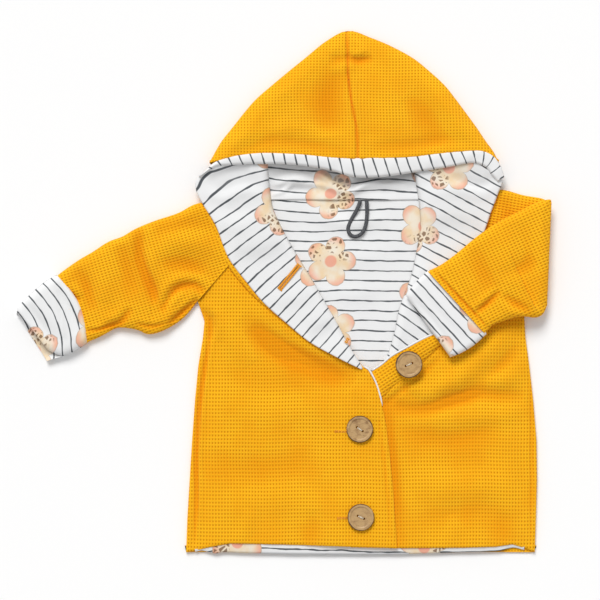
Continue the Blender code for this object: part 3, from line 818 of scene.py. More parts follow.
def put(name: str, surface: Surface, finish: bpy.types.Material,
        replaces: Sequence[str] = (), wall: float = 0.0, valleys: Sequence[Crease] = ()) -> bpy.types.Object:
    """Put a surface into the scene as a piece that rides on the jacket.

    Args:
        name: The piece's name.
        surface: Its mesh, in mm.
        finish: Its material.
        replaces: The solids that it stands for.
        wall: A thickness in mm to give it, downwards, or 0 for none.
        valleys: The creases whose folds get painted shade in its finish.

    Returns:
        The piece.
    """
    mesh = bpy.data.meshes.new(name)
    mesh.from_pydata((surface.points * MM).tolist(), [], surface.faces.tolist())
    layer = mesh.uv_layers.new(name=THREADS)
    corners = np.empty(len(mesh.loops), np.int32)
    mesh.loops.foreach_get("vertex_index", corners)
    layer.data.foreach_set("uv", surface.threads[corners].astype(np.float32).ravel())
    # Painted shade: each point's fall in the valleys is kept as an attribute that darkens the finish's colour
    # there
    if valleys:
        shade = mesh.attributes.new(PAINTED_SHADE_ATTRIBUTE, "FLOAT", "POINT")
        shade.data.foreach_set("value", painted_fold_shade(surface.points, valleys).astype(np.float32))
    mesh.materials.append(finish)
    mesh.validate()
    mesh.shade_smooth()
    piece = bpy.data.objects.new(name, mesh)
    bpy.context.scene.collection.objects.link(piece)
    if wall:
        shell = piece.modifiers.new("wall", "SOLIDIFY")
        shell.thickness = wall * MM
        shell.offset = -1
    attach(piece, "root")
    if replaces:
        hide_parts(*replaces)
    LOG.info("%s: %d faces", name, len(surface.faces))
    return piece


def ruled(rows: Sequence[Sequence[float]], steps: int, across: int) -> tuple[Array, Array]:
    """Points of a piece between two smooth edges, and each one's distance in from the first edge.

    Args:
        rows: The edges' points and heights (ax, ay, az, bx, by, bz).
        steps: How many rows are worked out between two given ones.
        across: How many points run from edge to edge.

    Returns:
        A grid of points, and a grid of distances.
    """
    table = smooth_table(np.array(rows, float), steps)
    share = np.linspace(0, 1, across)[None, :, None]
    points = table[:, None, :3] * (1 - share) + table[:, None, 3:] * share
    width = np.linalg.norm(table[:, 3:5] - table[:, :2], axis=1)
    return points, width[:, None] * share[..., 0]


def fanned_print(rows: Sequence[Sequence[float]], angles: Sequence[float], steps: int, across: int) -> Array:
    """Places on the print for a facing whose stripes turn slowly from row to row.

    Each step along the first edge, and each row's run, is measured along and across its own
    stripe's angle, so the stripes keep their distance at the first edge and fan a little beyond it.

    Args:
        rows: The facing's edges.
        angles: The stripes' angle at every row, in degrees.
        steps: How many rows are worked out between two given ones.
        across: How many points run from edge to edge.

    Returns:
        A grid of places on the flat print.
    """
    table = smooth_table(np.column_stack([rows, angles]), steps)
    turn = np.radians(table[:, 6])
    along = np.stack([np.cos(turn), np.sin(turn)], axis=1)
    up = np.stack([-np.sin(turn), np.cos(turn)], axis=1)
    step = np.diff(table[:, :2], axis=0, prepend=table[:1, :2])
    run = table[:, 3:5] - table[:, :2]
    share = np.linspace(0, 1, across)[None, :]
    u = np.cumsum(np.sum(step * along, axis=1))[:, None] + np.sum(run * along, axis=1)[:, None] * share
    v = np.cumsum(np.sum(step * up, axis=1))[:, None] + np.sum(run * up, axis=1)[:, None] * share
    return np.stack([u, v], axis=2)


# --------------------------------------------------------------------------- the body

SIDE_RIGHT = ((-88.4, -234), (-87, -205), (-84.6, -165), (-82.6, -133), (-80, -97), (-77, -66), (-73, -42),
              (-71.4, -26), (-77.5, -8.4))
SIDE_LEFT = ((225.5, -234), (226.5, -205), (227.5, -169), (227, -133), (224, -97), (220.5, -66), (217, -40),
             (216, -22))
RAGLAN_RIGHT = ((-77.5, -8.4), (-64.8, 8.4), (-51, 25.4), (-32.5, 46.5), (-20, 59))
RAGLAN_LEFT = ((216, -22), (196, 1), (177, 23), (158, 45), (144, 61), (135, 66))
HEM_RIGHT = ((-88, -234), (-80, -232.4), (-71, -230.4), (-60, -228), (-48, -226), (0, -227), (41.4, -228.2),
             (101.7, -230.2))
HEM_LEFT = ((60, -229.5), (101.7, -230.2), (160, -229.9), (190, -229), (205, -226.8), (216, -230),
            (225.5, -234))
FREE_EDGE = ((101.7, -230.2), (99.5, -196), (97.2, -165), (94.6, -140), (91.8, -118.8), (89, -105),
             (85.6, -93), (81.4, -80.5), (76, -70.5), (71, -67))
FOLD_RIGHT = ((71, -67), (59, -49), (49, -30), (37, -9), (26, 10), (15, 28), (5, 45), (-4, 58))
EDGE_LEFT = ((60, -229.5), (60, -169), (60, -124), (66, -97), (80, -86), (94, -81), (108, -70.5),
             (121, -59.5), (133, -48), (143.5, -38.5), (141, -30), (146, -11), (154, 14), (160, 35),
             (150, 52), (135, 66))
HEM_BACK = ((-88, -234), (60, -231.5), (132, -233.5), (225.5, -234))
SHOULDER_LEFT = ((216, -22), (190, 8), (160, 43), (143, 62.5))
NECK = ((126, 83), (66, 83), (-12.5, 83))
SHOULDER_RIGHT = ((-13.5, 64), (-23.5, 52.3), (-49.5, 22.3), (-77, -9))
BACK_LINING = ((-70, -226), (210, -226), (206, -97), (200, -30), (187, 8), (157, 43), (140, 62.5),
               (124.5, 83.4), (66, 84.4), (-11.5, 83.4), (-10.5, 64), (-20.5, 52.3), (-46, 22.3), (-60, -9),
               (-62, -97))

# How far the lining shows below the fronts' hem at some places along it: x, then the depth shown
HEM_SHOWN = ((-74, 2.0), (-62, 8.0), (-40, 10.0), (14, 9.6), (60, 8.2), (96, 6.8), (130, 5.8), (160, 5.0),
             (196, 5.2), (214, 3.0))

# How far the piping stands out beyond the free edge: y, then the distance
PIPING_SHOWN = ((-108, -2.6), (-101, -0.1), (-96, 0.6), (-86, 0.8), (-76, 0.6))


def read_off(table: Sequence[Point], at: Array) -> Array:
    """A table's second column where its first column has the given values."""
    where, values = np.array(table, float).T
    return np.interp(at, where, values)


@dataclass
class Body:
    """The two fronts, the back and its lining, with their hems, seams and piping.

    The fronts go down over side_ramp to their side seams, where seam_sink lowers them from
    lining_clearance above the table. The right one climbs onto the left over ramp, from shelf on.
    """

    finishes: Finishes
    side_ramp: float = 28.0
    shelf: float = 54.0
    ramp: float = 34.0
    lining_clearance: float = 4.9
    seam_sink: float = 1.7
    sink_reach: float = 13.0
    sink_ramp: float = 5.0
    hem_tuck: float = 6.0
    edge_radius: float = 3.0
    groove: float = 0.9
    groove_width: float = 1.1
    lapel_bed: float = 1.5
    lapel_reach: float = 40.0
    fold_setback: Point = (1.8, 1.3)
    # Painted shade along the raglan seam: this route only darkens the right front's colour
    raglan_seam_shade: Crease = Crease(RAGLAN_RIGHT, 0.8, -1.5)
    lining_base: float = 2.9
    hem_top: float = 3.8
    piping_radius: float = 0.8
    piping_end: float = -108.0
    # Painted shadow of the right front's free edge on the left front: this route only darkens the colour and
    # does not shape the cloth
    free_edge_shadow: Crease = Crease(
        ((106.5, -232), (103.5, -215), (101.8, -190), (99.6, -160), (96.6, -135), (93.4, -112), (88.6, -97),
         (80, -80)), 4.6, -2.6)
    right_creases: tuple[Crease, ...] = (
        Crease(((-67, -22), (-67.5, -44), (-75.5, -100), (-78.6, -150), (-78.4, -190), (-80.8, -228)),
               2.0, -2.8, 1.0),
        Crease(((-40, -24), (-4, -52), (30, -68), (66, -78)), 11, -2.4, 0.8),
        Crease(((-30, -30), (-4, -50), (24, -63), (56, -79)), 9, -2.4, 0.75),
        Crease(((-58, 10), (-60, -12), (-48, -40), (-30, -66)), 11, 1.76),
        Crease(((-75, -15), (-66, -26), (-66, -44)), 4, -2.08, 1.2),
        Crease(((-70, -90), (-20, -108), (40, -104), (80, -96)), 15, 1.44, -0.75),
        Crease(((-78, -150), (-30, -160), (30, -150)), 16, -1.12, 0.6),
        Crease(((-60, -196), (0, -186), (60, -196)), 14, 1.12),
        Crease(((-40, -226), (-34, -212), (-30, -196)), 7, 0.96),
        Crease(((22, -227), (26, -212), (24, -196)), 8, -0.96),
        Crease(((60, -84), (78, -98), (85, -116)), 8, 1.12),
        Crease(((84, -90), (86, -120), (92, -170), (96, -222)), 2.0, -0.8, 0.3),
    )
    left_creases: tuple[Crease, ...] = (
        Crease(((88, -97), (110, -104), (131, -104), (150, -97.5), (178, -91), (216, -94)), 7.5, -3.52, 1.65),
        Crease(((102, -126), (149, -131), (197, -120)), 10, -1.44, 0.9),
        Crease(((206, -30), (184, -52), (160, -72), (132, -86)), 10, 2.56),
        Crease(((212, -46), (190, -70), (160, -86)), 7, -1.76, 0.9),
        Crease(((222, -104), (190, -112), (150, -115)), 8, 1.28),
        Crease(((110, -170), (160, -178), (208, -168)), 15, 1.12, -0.6),
        Crease(((120, -205), (170, -196), (214, -206)), 12, -1.12, 0.6),
        Crease(((150, -228), (153, -214), (150, -200)), 7, 0.96),
        Crease(((200, -227), (196, -212), (198, -198)), 7, -0.8),
        Crease(((219, -60), (222, -100), (223, -150), (222, -228)), 2.0, -1.12, 0.45),
        Crease(((106, -80), (112, -92), (124, -96)), 5, -1.44, 0.6),
        Crease(((76, -101), (90, -94.5), (99, -87), (112, -76), (125, -65), (140, -51)), 4.2, 0.7),
        Crease(((84, -106), (99, -94), (114, -82), (130, -68), (142, -57)), 3.4, -1.3),
    )
    back_creases: tuple[Crease, ...] = (
        Crease(((-60, -60), (20, -80), (120, -64), (200, -76)), 14, 1.44, -0.45),
        Crease(((-70, -150), (40, -166), (200, -150)), 16, 1.28, -0.45),
        Crease(((66, 70), (62, -20), (68, -120)), 9, 1.12),
        Crease(((190, -10), (150, -50), (100, -60)), 10, 1.28),
        Crease(((-60, -6), (-20, -44), (30, -50)), 10, 1.28),
    )
    lining_creases: tuple[Crease, ...] = (
        Crease(((20, 78), (38, 66), (60, 62), (96, 66)), 7, 1.76, -0.6),
        Crease(((10, 40), (50, 30), (100, 36)), 9, 0.96),
        Crease(((28, 4), (60, -2), (98, 6)), 8, 0.8),
        Crease(((56, 84), (58, 60), (66, 20), (72, -40)), 8, 1.12),
    )

    def build(self) -> None:
        """Build every piece of the body."""
        self.front_right()
        self.front_left()
        self.back()
        self.back_lining()
        self.hem_lining()
        self.free_edge_piping()

    def edge_drop(self, cloth: Lattice, seam: Sequence[Point]) -> Array:
        """How far the cloth's rounded edge falls near its outline, and the groove along its sewn seam."""
        away = beside(cloth.xy, np.array(seam, float)).away
        fall = -1.5 * (1 - rolled(cloth.depth, self.edge_radius)) * ease((away - 1) / 3)
        return fall - self.groove * np.exp(-((away / self.groove_width) ** 2))

    def front(self, node: str, cloth: Lattice, z: Array, side_away: Array,
              valleys: Sequence[Crease]) -> None:
        """Finish a front: keep it clear of the lining below, knit its relief, hem it and lay it down.

        Args:
            node: The solid that it stands for.
            cloth: The front, still flat.
            z: Its points' heights.
            side_away: Their distances from the side seam.
            valleys: The creases whose folds get painted shade.
        """
        floor = self.lining_clearance - self.seam_sink * ease((self.sink_reach - side_away) / self.sink_ramp)
        surface = hemmed(cloth, np.maximum(z, floor) + waffle_relief(cloth), WAFFLE_WALL, self.hem_tuck)
        piece = put(f"{node}_cloth", surface, self.finishes.waffle, [node], valleys=valleys)

    def front_right(self) -> None:
        """The right front: level in the middle, down to the side seam, and up over the left front."""
        fold = np.array(FOLD_RIGHT[1:-1], float) - self.fold_setback
        outline = np.vstack([HEM_RIGHT, FREE_EDGE[1:], fold, FOLD_RIGHT[-1:], RAGLAN_RIGHT[::-1],
                             SIDE_RIGHT[::-1][1:-1]])
        cloth = woven(outline, BODY_WEAVE)
        y = cloth.xy[:, 1]
        side_away, free_away, lapel_away = (
            beside(cloth.xy, np.array(line, float)).away for line in (SIDE_RIGHT, FREE_EDGE, FOLD_RIGHT))
        z = FRONT_TOP + (SIDE_TOP - FRONT_TOP) * ease(1 - side_away / self.side_ramp)
        over = ease(1 - (free_away - self.shelf) / self.ramp) * ease((-30 - y) / 40)
        z = z + (OVERLAP_TOP - FRONT_TOP) * over
        z = z + self.edge_drop(cloth, RAGLAN_RIGHT)
        z = z + creased(cloth.xy, self.right_creases) + billow(cloth.xy, 0.35) * ease(cloth.depth / 12)
        z = z - self.lapel_bed * ease(1 - lapel_away / self.lapel_reach) * ease((y + 60) / 20)
        self.front("front_right", cloth, z, side_away, (*self.right_creases, self.raglan_seam_shade))

    def front_left(self) -> None:
        """The left front: level in the middle, down to the side seam, flat where the right one covers it."""
        outline = np.vstack([HEM_LEFT, SIDE_LEFT[1:], RAGLAN_LEFT[1:], EDGE_LEFT[::-1][1:-1]])
        cloth = woven(outline, BODY_WEAVE)
        side_away = beside(cloth.xy, np.array(SIDE_LEFT, float)).away
        z = FRONT_TOP + (SIDE_TOP - FRONT_TOP) * ease(1 - side_away / self.side_ramp)
        z = z + self.edge_drop(cloth, RAGLAN_LEFT)
        free = beside(cloth.xy, np.array(FREE_EDGE[:8], float))
        covered = ease((free.away - 1) / 6) * (free.side > 0) * ease((-70 - cloth.xy[:, 1]) / 8)
        z = z + creased(cloth.xy, self.left_creases) * (1 - covered)
        z = z + billow(cloth.xy + 31.0, 0.35) * ease(cloth.depth / 12) - 0.9 * covered
        self.front("front_left", cloth, z, side_away, (*self.left_creases, self.free_edge_shadow))

    def back(self) -> None:
        """The back, right side down: the same outline, its waffle on the underside, with soft creases."""
        outline = np.vstack([HEM_BACK, SIDE_LEFT[1:-1], SHOULDER_LEFT, NECK, SHOULDER_RIGHT,
                             SIDE_RIGHT[::-1][1:-1]])
        cloth = woven(outline, BODY_WEAVE.split(3))
        lift = np.clip(creased(cloth.xy, self.back_creases), 0, 1.4)
        under = 0.25 + lift + 1.4 * (1 - rolled(cloth.depth, self.edge_radius)) - 0.7 * waffle_relief(cloth)
        inside = woven(outline, BODY_WEAVE.split(1))
        upper = lifted(inside, np.full(len(inside.xy), WAFFLE_WALL + 0.1))
        surface = lifted(cloth, under, below=True).joined(upper)
        piece = put("back_cloth", surface, self.finishes.waffle, ["back"])

    def back_lining(self) -> None:
        """The lining down the back, seen through the open front, with the soft ripples of a loose layer."""
        outline = np.array(BACK_LINING, float)
        cloth = woven(outline, BACK_LINING_WEAVE)
        x, y = cloth.xy.T
        lift = creased(cloth.xy, self.lining_creases) * ease((y + 70) / 20)
        z = self.lining_base + 0.5 * ease((y + 90) / 40) + lift + 0.25 * np.sin(x / 9.0) * np.sin(y / 12.0)
        surface = lifted(cloth, z)
        surface.threads = cloth.xy + np.array([0.0, PRINT_SHIFT])
        drift = 0.5 * np.sin(surface.threads[:, 0] / 13.0)
        surface.threads[:, 1] += drift + 2.2 * ease((y - 40) / 44) * np.sin(x / 22.0)
        piece = put("back_lining_cloth", surface, self.finishes.jersey, ["back_lining"],
                    wall=JERSEY_WALL)

    def hem_lining(self) -> None:
        """The strip of lining that shows below the fronts' hem: a narrow roll that runs the hem's length."""
        top = even_route([(x, y + 1.5) for x, y in (*HEM_RIGHT[1:-1], *HEM_LEFT[1:-1])], 2.0)
        shown = read_off(HEM_SHOWN, top[:, 0])
        share = np.linspace(0, 1, 6)
        x = np.repeat(top[:, :1], len(share), axis=1)
        y = top[:, 1:] - shown[:, None] * share[None]
        z = self.hem_top - share[None] ** 2 + 0.12 * np.sin(top[:, :1] / 5.0)
        points = np.stack([x, y, np.broadcast_to(z, x.shape)], axis=2)
        threads = np.stack([x, 0.62 - share[None] * shown[:, None]], axis=2)
        surface = grid_surface(points[:, ::-1], threads[:, ::-1])
        piece = put("hem_lining", surface, self.finishes.jersey, wall=JERSEY_WALL)

    def free_edge_piping(self) -> None:
        """The lining's narrow roll down the right front's free edge, from the lapel till it slips under."""
        edge = even_route(FREE_EDGE[::-1], 1.6)
        edge = edge[edge[:, 1] > self.piping_end]
        x, y = edge.T
        shown = read_off(PIPING_SHOWN, y)
        height = OVERLAP_TOP - 0.6 - 2.2 * ease((-94 - y) / 12) + 0.2 * np.sin(y / 7.0)
        route = np.column_stack([x + shown, y + 0.5 * shown, height])
        surface = tube_surface(route, self.piping_radius * ease((y + 109) / 9), 8)
        put("free_edge_piping", surface, self.finishes.jersey_plain)


# --------------------------------------------------------------------------- the lapels

LAPEL_RIGHT = (
    (71, -68, 13.0, 69.6, -69.5, 12.6), (59, -49, 13.0, 50, -60, 13.0), (49, -30, 11.2, 23, -45, 11.4),
    (37, -9, 10.9, 1, -27, 10.9), (26, 10, 10.9, -18, -10, 10.9), (15, 28, 10.9, -33, 8, 10.9),
    (5, 45, 10.9, -50, 31, 10.9), (-4, 62, 10.9, -61, 59, 10.9), (-10, 76, 10.9, -73, 79, 10.9),
    (-12, 88, 10.9, -79, 92, 10.9), (-13.5, 101, 10.9, -77, 103, 11.4), (-14, 114, 10.9, -60, 114, 12.6),
    (-14, 123, 10.9, -48, 122, 12.6))
LAPEL_LEFT = (
    (87, -69, 8.5, 96, -72, 8.5), (94, -54, 9.3, 115, -58, 8.6), (99, -37, 10.9, 131, -41, 9.2),
    (103, -17, 10.9, 140, -27, 10.9), (108, -2, 10.9, 150, -11, 10.9), (114, 14, 10.9, 160, 7, 10.9),
    (118, 32, 10.9, 171, 31, 10.9), (122, 54, 10.9, 180, 54, 10.9), (122, 72, 10.9, 186, 72, 10.9),
    (120, 88, 10.9, 192, 88, 10.9), (118, 101, 10.9, 195, 100, 11.4), (117, 110, 10.9, 180, 112, 12.6),
    (117, 116, 10.9, 168, 119, 12.6))
RIGHT_ANGLES = (52, 50, 48, 46, 43, 40, 36, 33, 30, 24, 16, 10, 8)
LEFT_ANGLES = (-38, -37, -36, -34, -32, -30, -28, -28, -28, -29, -30, -30, -30)
EDGE_ROLL = (
    (79, -71.5, 6.2, 86, -98, 6.8), (88, -65.5, 9.9, 92, -92, 8.8), (97, -58, 11.2, 98.5, -85, 9.4),
    (112, -49.5, 11.6, 112.5, -74, 9.6), (123, -43.5, 11.7, 125, -63, 9.8),
    (134, -38.5, 11.2, 137, -51, 10.0), (145, -34.5, 11.0, 147, -42, 10.2))

# How much of the waffle's border shows beyond the right lapel, as a share of its width: y, then the share
BORDER_SHOWN = ((-60, -1.5), (-30, -0.4), (-8, 0.5), (10, 1.0), (50, 1.0), (74, 0.6), (84, -0.5))


@dataclass
class Lapels:
    """The front edges turned out: striped facings on top, the waffle's border beside them."""

    finishes: Finishes
    border: float = 4.6
    fold_fall: float = 6.2
    fold_radius: float = 7.0
    tucked_in: float = 14.0
    turned_stretch: float = 1.6
    roll_crown: float = 1.1
    roll_radius: float = 7.5
    roll_wall: float = 2.2
    piping_radius: float = 0.9
    right_creases: tuple[Crease, ...] = (
        Crease(((-74, 92), (-56, 84), (-36, 90), (-16, 86)), 6, 1.6, -0.75),
        Crease(((-70, 70), (-46, 60), (-18, 66)), 9, 1.28, -0.45),
        Crease(((-46, 34), (-22, 32), (4, 40)), 9, -1.12, 0.45),
        Crease(((-16, -6), (10, -4), (30, 4)), 9, 0.96),
        Crease(((22, -40), (38, -34), (48, -24)), 7, -0.96, 0.45),
        Crease(((-68, 100), (-50, 108), (-30, 110)), 5, -1.92, 0.9),
    )
    left_creases: tuple[Crease, ...] = (
        Crease(((124, 84), (150, 92), (186, 90)), 8, 1.44, -0.6),
        Crease(((124, 54), (150, 60), (180, 56)), 10, -1.12, 0.45),
        Crease(((118, 24), (140, 14), (160, 12)), 8, 0.96),
        Crease(((188, 106), (176, 96), (150, 104)), 5, -1.6, 0.75),
    )

    def build(self) -> None:
        """Build both lapels and their borders."""
        self.facing("lapel_right", LAPEL_RIGHT, RIGHT_ANGLES, self.right_creases)
        self.facing("lapel_left", LAPEL_LEFT, LEFT_ANGLES, self.left_creases)
        self.turned("turned_front_right", LAPEL_RIGHT[1:10], self.border, LAPEL_RIGHT_WEAVE)
        self.turned("turned_front_left", LAPEL_LEFT[3:10], 0.0, BODY_WEAVE)
        self.edge_roll()
        self.edge_roll_piping()

    def facing(self, node: str, rows: Sequence[Sequence[float]], angles: Sequence[float],
               creases: Sequence[Crease]) -> None:
        """A striped facing: level, rolled down at its fold and rounded at its free edge."""
        steps, across = 14, 52
        points, from_fold = ruled(rows, steps, across)
        width = from_fold[:, -1:]
        flat = points[..., :2].reshape(-1, 2)
        z = points[..., 2] - self.fold_fall * (1 - rolled(from_fold, self.fold_radius))
        z = z - 0.7 * (1 - rolled(width - from_fold, 1.8))
        z = z + (creased(flat, creases) + billow(flat, 0.3)).reshape(z.shape) * ease(from_fold / 10)
        points = np.dstack([points[..., :2], z])
        surface = face_up(grid_surface(points, fanned_print(rows, angles, steps, across)))
        piece = put(f"{node}_cloth", surface, self.finishes.jersey, [node], wall=JERSEY_WALL,
                    valleys=creases)

    def turned(self, node: str, rows: Sequence[Sequence[float]], border: float, weave: Weave) -> None:
        """The waffle turned out under a facing: a border shows beyond it, and slips under at the hood."""
        table = np.array(rows, float)
        run = table[:, 3:5] - table[:, :2]
        run = run / np.hypot(run[:, 0], run[:, 1])[:, None]
        shown = border * read_off(BORDER_SHOWN, table[:, 4])[:, None]
        outer = even_route(table[:, 3:5] + run * shown, 5.0)
        inner = even_route(table[:, 3:5] - run * self.tucked_in, 5.0)
        outline = np.vstack([inner, outer[::-1]])
        cloth = woven(outline, weave)
        top = np.interp(cloth.xy[:, 1], table[:, 4], table[:, 5]) - 1.4
        z = top - 1.9 * (1 - rolled(cloth.depth, 3.2)) + waffle_relief(cloth, 0.6)
        held_in = table.copy()
        held_in[:, :2] += run * 2.2
        fold, from_fold = ruled(held_in, 4, 8)
        fold[..., 2] -= 1.5 + (self.fold_fall - 2.2) * (1 - rolled(from_fold, self.fold_radius))
        under = face_up(grid_surface(fold, fold[..., :2].copy()))
        surface = hemmed(cloth, z, WAFFLE_WALL, 4.0).joined(under)
        piece = put(f"{node}_cloth", surface, self.finishes.waffle, [node])

    def edge_roll(self) -> None:
        """The left front's edge zone, rolled back over the lapel: rounded at its fold, the grain along it."""
        rows = np.array(EDGE_ROLL, float)
        free_line, fold_line = even_route(rows[:, :2], 4.0), even_route(rows[:, 3:5], 4.0)
        outline = np.vstack([free_line, fold_line[::-1]])
        cloth = woven(outline, EDGE_ROLL_WEAVE)
        fold, free = beside(cloth.xy, fold_line).away, beside(cloth.xy, free_line).away
        share = free / np.maximum(free + fold, 1e-6)
        at_free, at_fold = (np.interp(cloth.xy[:, 0], rows[:, 0], rows[:, k]) for k in (2, 5))
        z = at_free * (1 - share) + at_fold * share + self.roll_crown * np.sin(math.pi * share)
        z = z - 2.7 * (1 - rolled(fold, self.roll_radius)) - 0.6 * (1 - rolled(free, 1.6))
        surface = hemmed(cloth, z + waffle_relief(cloth), self.roll_wall, 4.0)
        piece = put("edge_roll_cloth", surface, self.finishes.waffle, ["edge_roll_left"])

    def edge_roll_piping(self) -> None:
        """The lining's narrow roll along the rolled edge."""
        rows = np.array(EDGE_ROLL, float)
        edge = even_route(np.column_stack([rows[:, :2] + (-0.5, 0.6), rows[:, 2] - 0.7]), 1.6)
        surface = tube_surface(edge, self.piping_radius, 8)
        put("edge_roll_piping", surface, self.finishes.jersey_plain)


# --------------------------------------------------------------------------- the hood

HOOD_SEAM = ((66, 118), (66, 133), (65, 148), (60.5, 171), (57.4, 196), (57.2, 212), (56.6, 234.6))
HOOD_SIDE_RIGHT = (
    (56.6, 234.6), (50, 232.8), (35, 223.4), (19.8, 210.8), (4.5, 198.4), (-10.8, 185.6), (-25.2, 173.0),
    (-36, 160.6), (-45.9, 148), (-56.2, 135), (-63.5, 122.4), (-67, 116))
HOOD_SIDE_LEFT = (
    (56.6, 234.6), (64, 234.2), (76, 229.4), (94, 222), (115.5, 210.4), (131, 198), (144.5, 185.4),
    (154.5, 172.8), (163.8, 160.2), (173, 147.6), (181.4, 135), (188, 126), (193, 116))
MOUTH_RIGHT = ((66, 119), (44, 119.6), (14, 122.4), (-20, 123.6), (-46, 120.6), (-60, 117), (-67, 116))
MOUTH_LEFT = ((66, 119), (92, 119.6), (118, 121), (150, 124.6), (175, 126), (186, 121), (193, 116))
HOOD_BAND = (
    (-71, 108, 12.2, -76, 103, 11.6), (-62, 116.2, 13.4, -61, 112, 11.8),
    (-46, 121.4, 15.0, -47, 113.6, 12.0), (-20, 124.4, 15.4, -18, 114.6, 12.0),
    (14, 123.2, 15.4, 12, 113.6, 12.0), (44, 120.4, 15.4, 42, 108.8, 12.0),
    (66, 119.8, 15.4, 62, 103.0, 12.0), (92, 120.4, 15.4, 88, 103.0, 12.0),
    (118, 121.8, 15.4, 116, 107.0, 12.0), (150, 125.2, 15.4, 146, 111.6, 12.0),
    (174, 126.6, 15.0, 168, 115.4, 12.2), (187, 122.0, 14.0, 180, 112.0, 12.0),
    (194, 113.0, 12.8, 186, 105.0, 11.8), (197.5, 103.0, 12.0, 191, 99.0, 11.4))
NECK_RIGHT = ((66, 83.8), (-14, 84.4), (-46, 96), (-67, 116))
NECK_LEFT = ((66, 83.8), (126, 84.4), (158, 96), (193, 116))
HOOD_LINING = ((66, 82.6), (127, 82.8), (142, 100), (158, 122), (156, 146), (140, 160), (-10, 160),
               (-30, 146), (-40, 124), (-28, 104), (-15, 83))


@dataclass
class Hood:
    """Two halves sewn down the middle, the lining inside and its band turned over the front edge."""

    finishes: Finishes
    tip_y: float = 234.0
    mouth_y: float = 118.0
    mouth_height: float = 16.0
    tip_height: float = 5.0
    side_radius: float = 15.0
    lip_radius: float = 3.0
    lip_fall: float = 1.4
    lowest: float = 1.9
    side_growth: float = 0.035
    # Painted shade along the middle seam: this route only darkens the colour, while half() shapes the groove
    hood_seam_shade: Crease = Crease(HOOD_SEAM, 1.1, -2.2)
    lining_base: float = 3.4
    lining_low: float = 2.9
    lining_high: float = 9.6
    lining_sag: float = 6.0
    band_crown: float = 0.8
    band_rise: float = 2.9
    creases: tuple[Crease, ...] = (
        Crease(((56, 214), (60, 209.5), (68, 207.5), (80, 210)), 3.4, -2.6, 1.4),
        Crease(((57, 212), (50, 208), (40, 208)), 4.4, -1.5, 0.8),
        Crease(((62, 230), (68, 222), (72, 214)), 5.0, 1.6),
        Crease(((50, 228), (46, 220), (44, 212)), 5.0, 1.0),
        Crease(((50, 204), (40, 176), (42, 140)), 14, -2.6, 0.9),
        Crease(((76, 204), (92, 172), (96, 134)), 13, 1.8),
        Crease(((34, 212), (8, 186), (-18, 158), (-44, 128)), 12, 1.6),
        Crease(((104, 206), (134, 178), (160, 142), (182, 118)), 12, 1.6),
        Crease(((110, 176), (132, 152), (140, 130)), 13, -1.7, 0.6),
        Crease(((-52, 122), (-10, 134), (34, 130), (56, 126)), 6, -1.2, 0.8),
        Crease(((186, 126), (150, 136), (110, 131), (76, 128)), 6, -1.2, 0.8),
        Crease(((0, 178), (-16, 150), (-12, 132)), 12, -1.5, 0.5),
    )
    lining_creases: tuple[Crease, ...] = (
        Crease(((26, 110), (40, 100), (58, 90), (76, 99), (98, 108)), 3.6, 4.16, -1.35),
        Crease(((20, 98), (38, 95), (52, 87)), 2.6, 2.56, -1.05),
        Crease(((-8, 96), (8, 101), (28, 98)), 4.5, 3.04, -1.05),
        Crease(((-12, 88), (-2, 90), (8, 96)), 2.0, 2.56, -1.35),
        Crease(((64, 90), (84, 96), (112, 94)), 4.0, 2.08, -0.9),
        Crease(((34, 112), (44, 104), (55, 97), (64, 92)), 3.4, -3.0, 0.8),
        Crease(((-16, 94), (-4, 91), (10, 93), (26, 91)), 2.4, -1.5, 0.8),
        Crease(((66, 100), (88, 104), (116, 108), (126, 100)), 3.6, -2.6, 0.7),
    )

    def build(self) -> None:
        """Build both halves, the lining and the band."""
        self.half("hood_right", HOOD_SIDE_RIGHT, MOUTH_RIGHT, NECK_RIGHT)
        self.half("hood_left", HOOD_SIDE_LEFT, MOUTH_LEFT, NECK_LEFT)
        self.lining()
        self.band()

    def height(self, y: Array) -> Array:
        """How high the hood stands: most at its mouth, least at its tip."""
        rise = np.clip((self.tip_y - y) / (self.tip_y - self.mouth_y), 0, 1)
        return self.tip_height + (self.mouth_height - self.tip_height) * rise**0.6

    def roundness(self, edge_away: Array, tall: Array) -> Array:
        """How round the hood is beside its outline, from 0 to 1: its edge is rounder where it stands tall."""
        return rolled(edge_away, self.side_radius * (0.4 + 0.6 * tall / self.mouth_height))

    def half(self, node: str, side: Sequence[Point], mouth: Sequence[Point], neck: Sequence[Point]) -> None:
        """Half the hood: its top rises as a quarter of an ellipse, and the underside mirrors it."""
        edge, lip = even_route(side, 5.0), even_route(mouth, 5.0)
        seam = np.array(HOOD_SEAM, float)
        outline = np.vstack([seam[1:-1], edge, lip[::-1][1:]])
        cloth = woven(outline, HOOD_WEAVE)
        tall = self.height(cloth.xy[:, 1])
        out, groove, lip_away = (beside(cloth.xy, line).away for line in (edge, seam, lip))
        z = tall / 2 + (tall / 2) * self.roundness(out, tall)
        z = z + (creased(cloth.xy, self.creases) + billow(cloth.xy, 0.45)) * ease(out / 14)
        z = z - 2.2 * np.exp(-((groove / 1.2) ** 2)) + 0.8 * np.exp(-(((groove - 4.2) / 2.8) ** 2))
        z = z - self.lip_fall * (1 - rolled(lip_away, self.lip_radius))
        top = hemmed(cloth, np.maximum(z, self.lowest) + waffle_relief(cloth), WAFFLE_WALL / 2, 2.0)
        lower_outline = np.vstack([seam[1:-1], edge, even_route(neck, 5.0)[::-1][1:]])
        lower = woven(lower_outline, HOOD_WEAVE.split(2))
        tall = self.height(np.maximum(lower.xy[:, 1], self.mouth_y))
        under = tall / 2 * (1 - self.roundness(beside(lower.xy, edge).away, tall))
        under = under + 0.3 - 0.4 * waffle_relief(lower)
        surface = top.joined(lifted(lower, under, below=True))
        piece = put(f"{node}_cloth", surface, self.finishes.waffle, [node],
                    valleys=(*self.creases, self.hood_seam_shade))

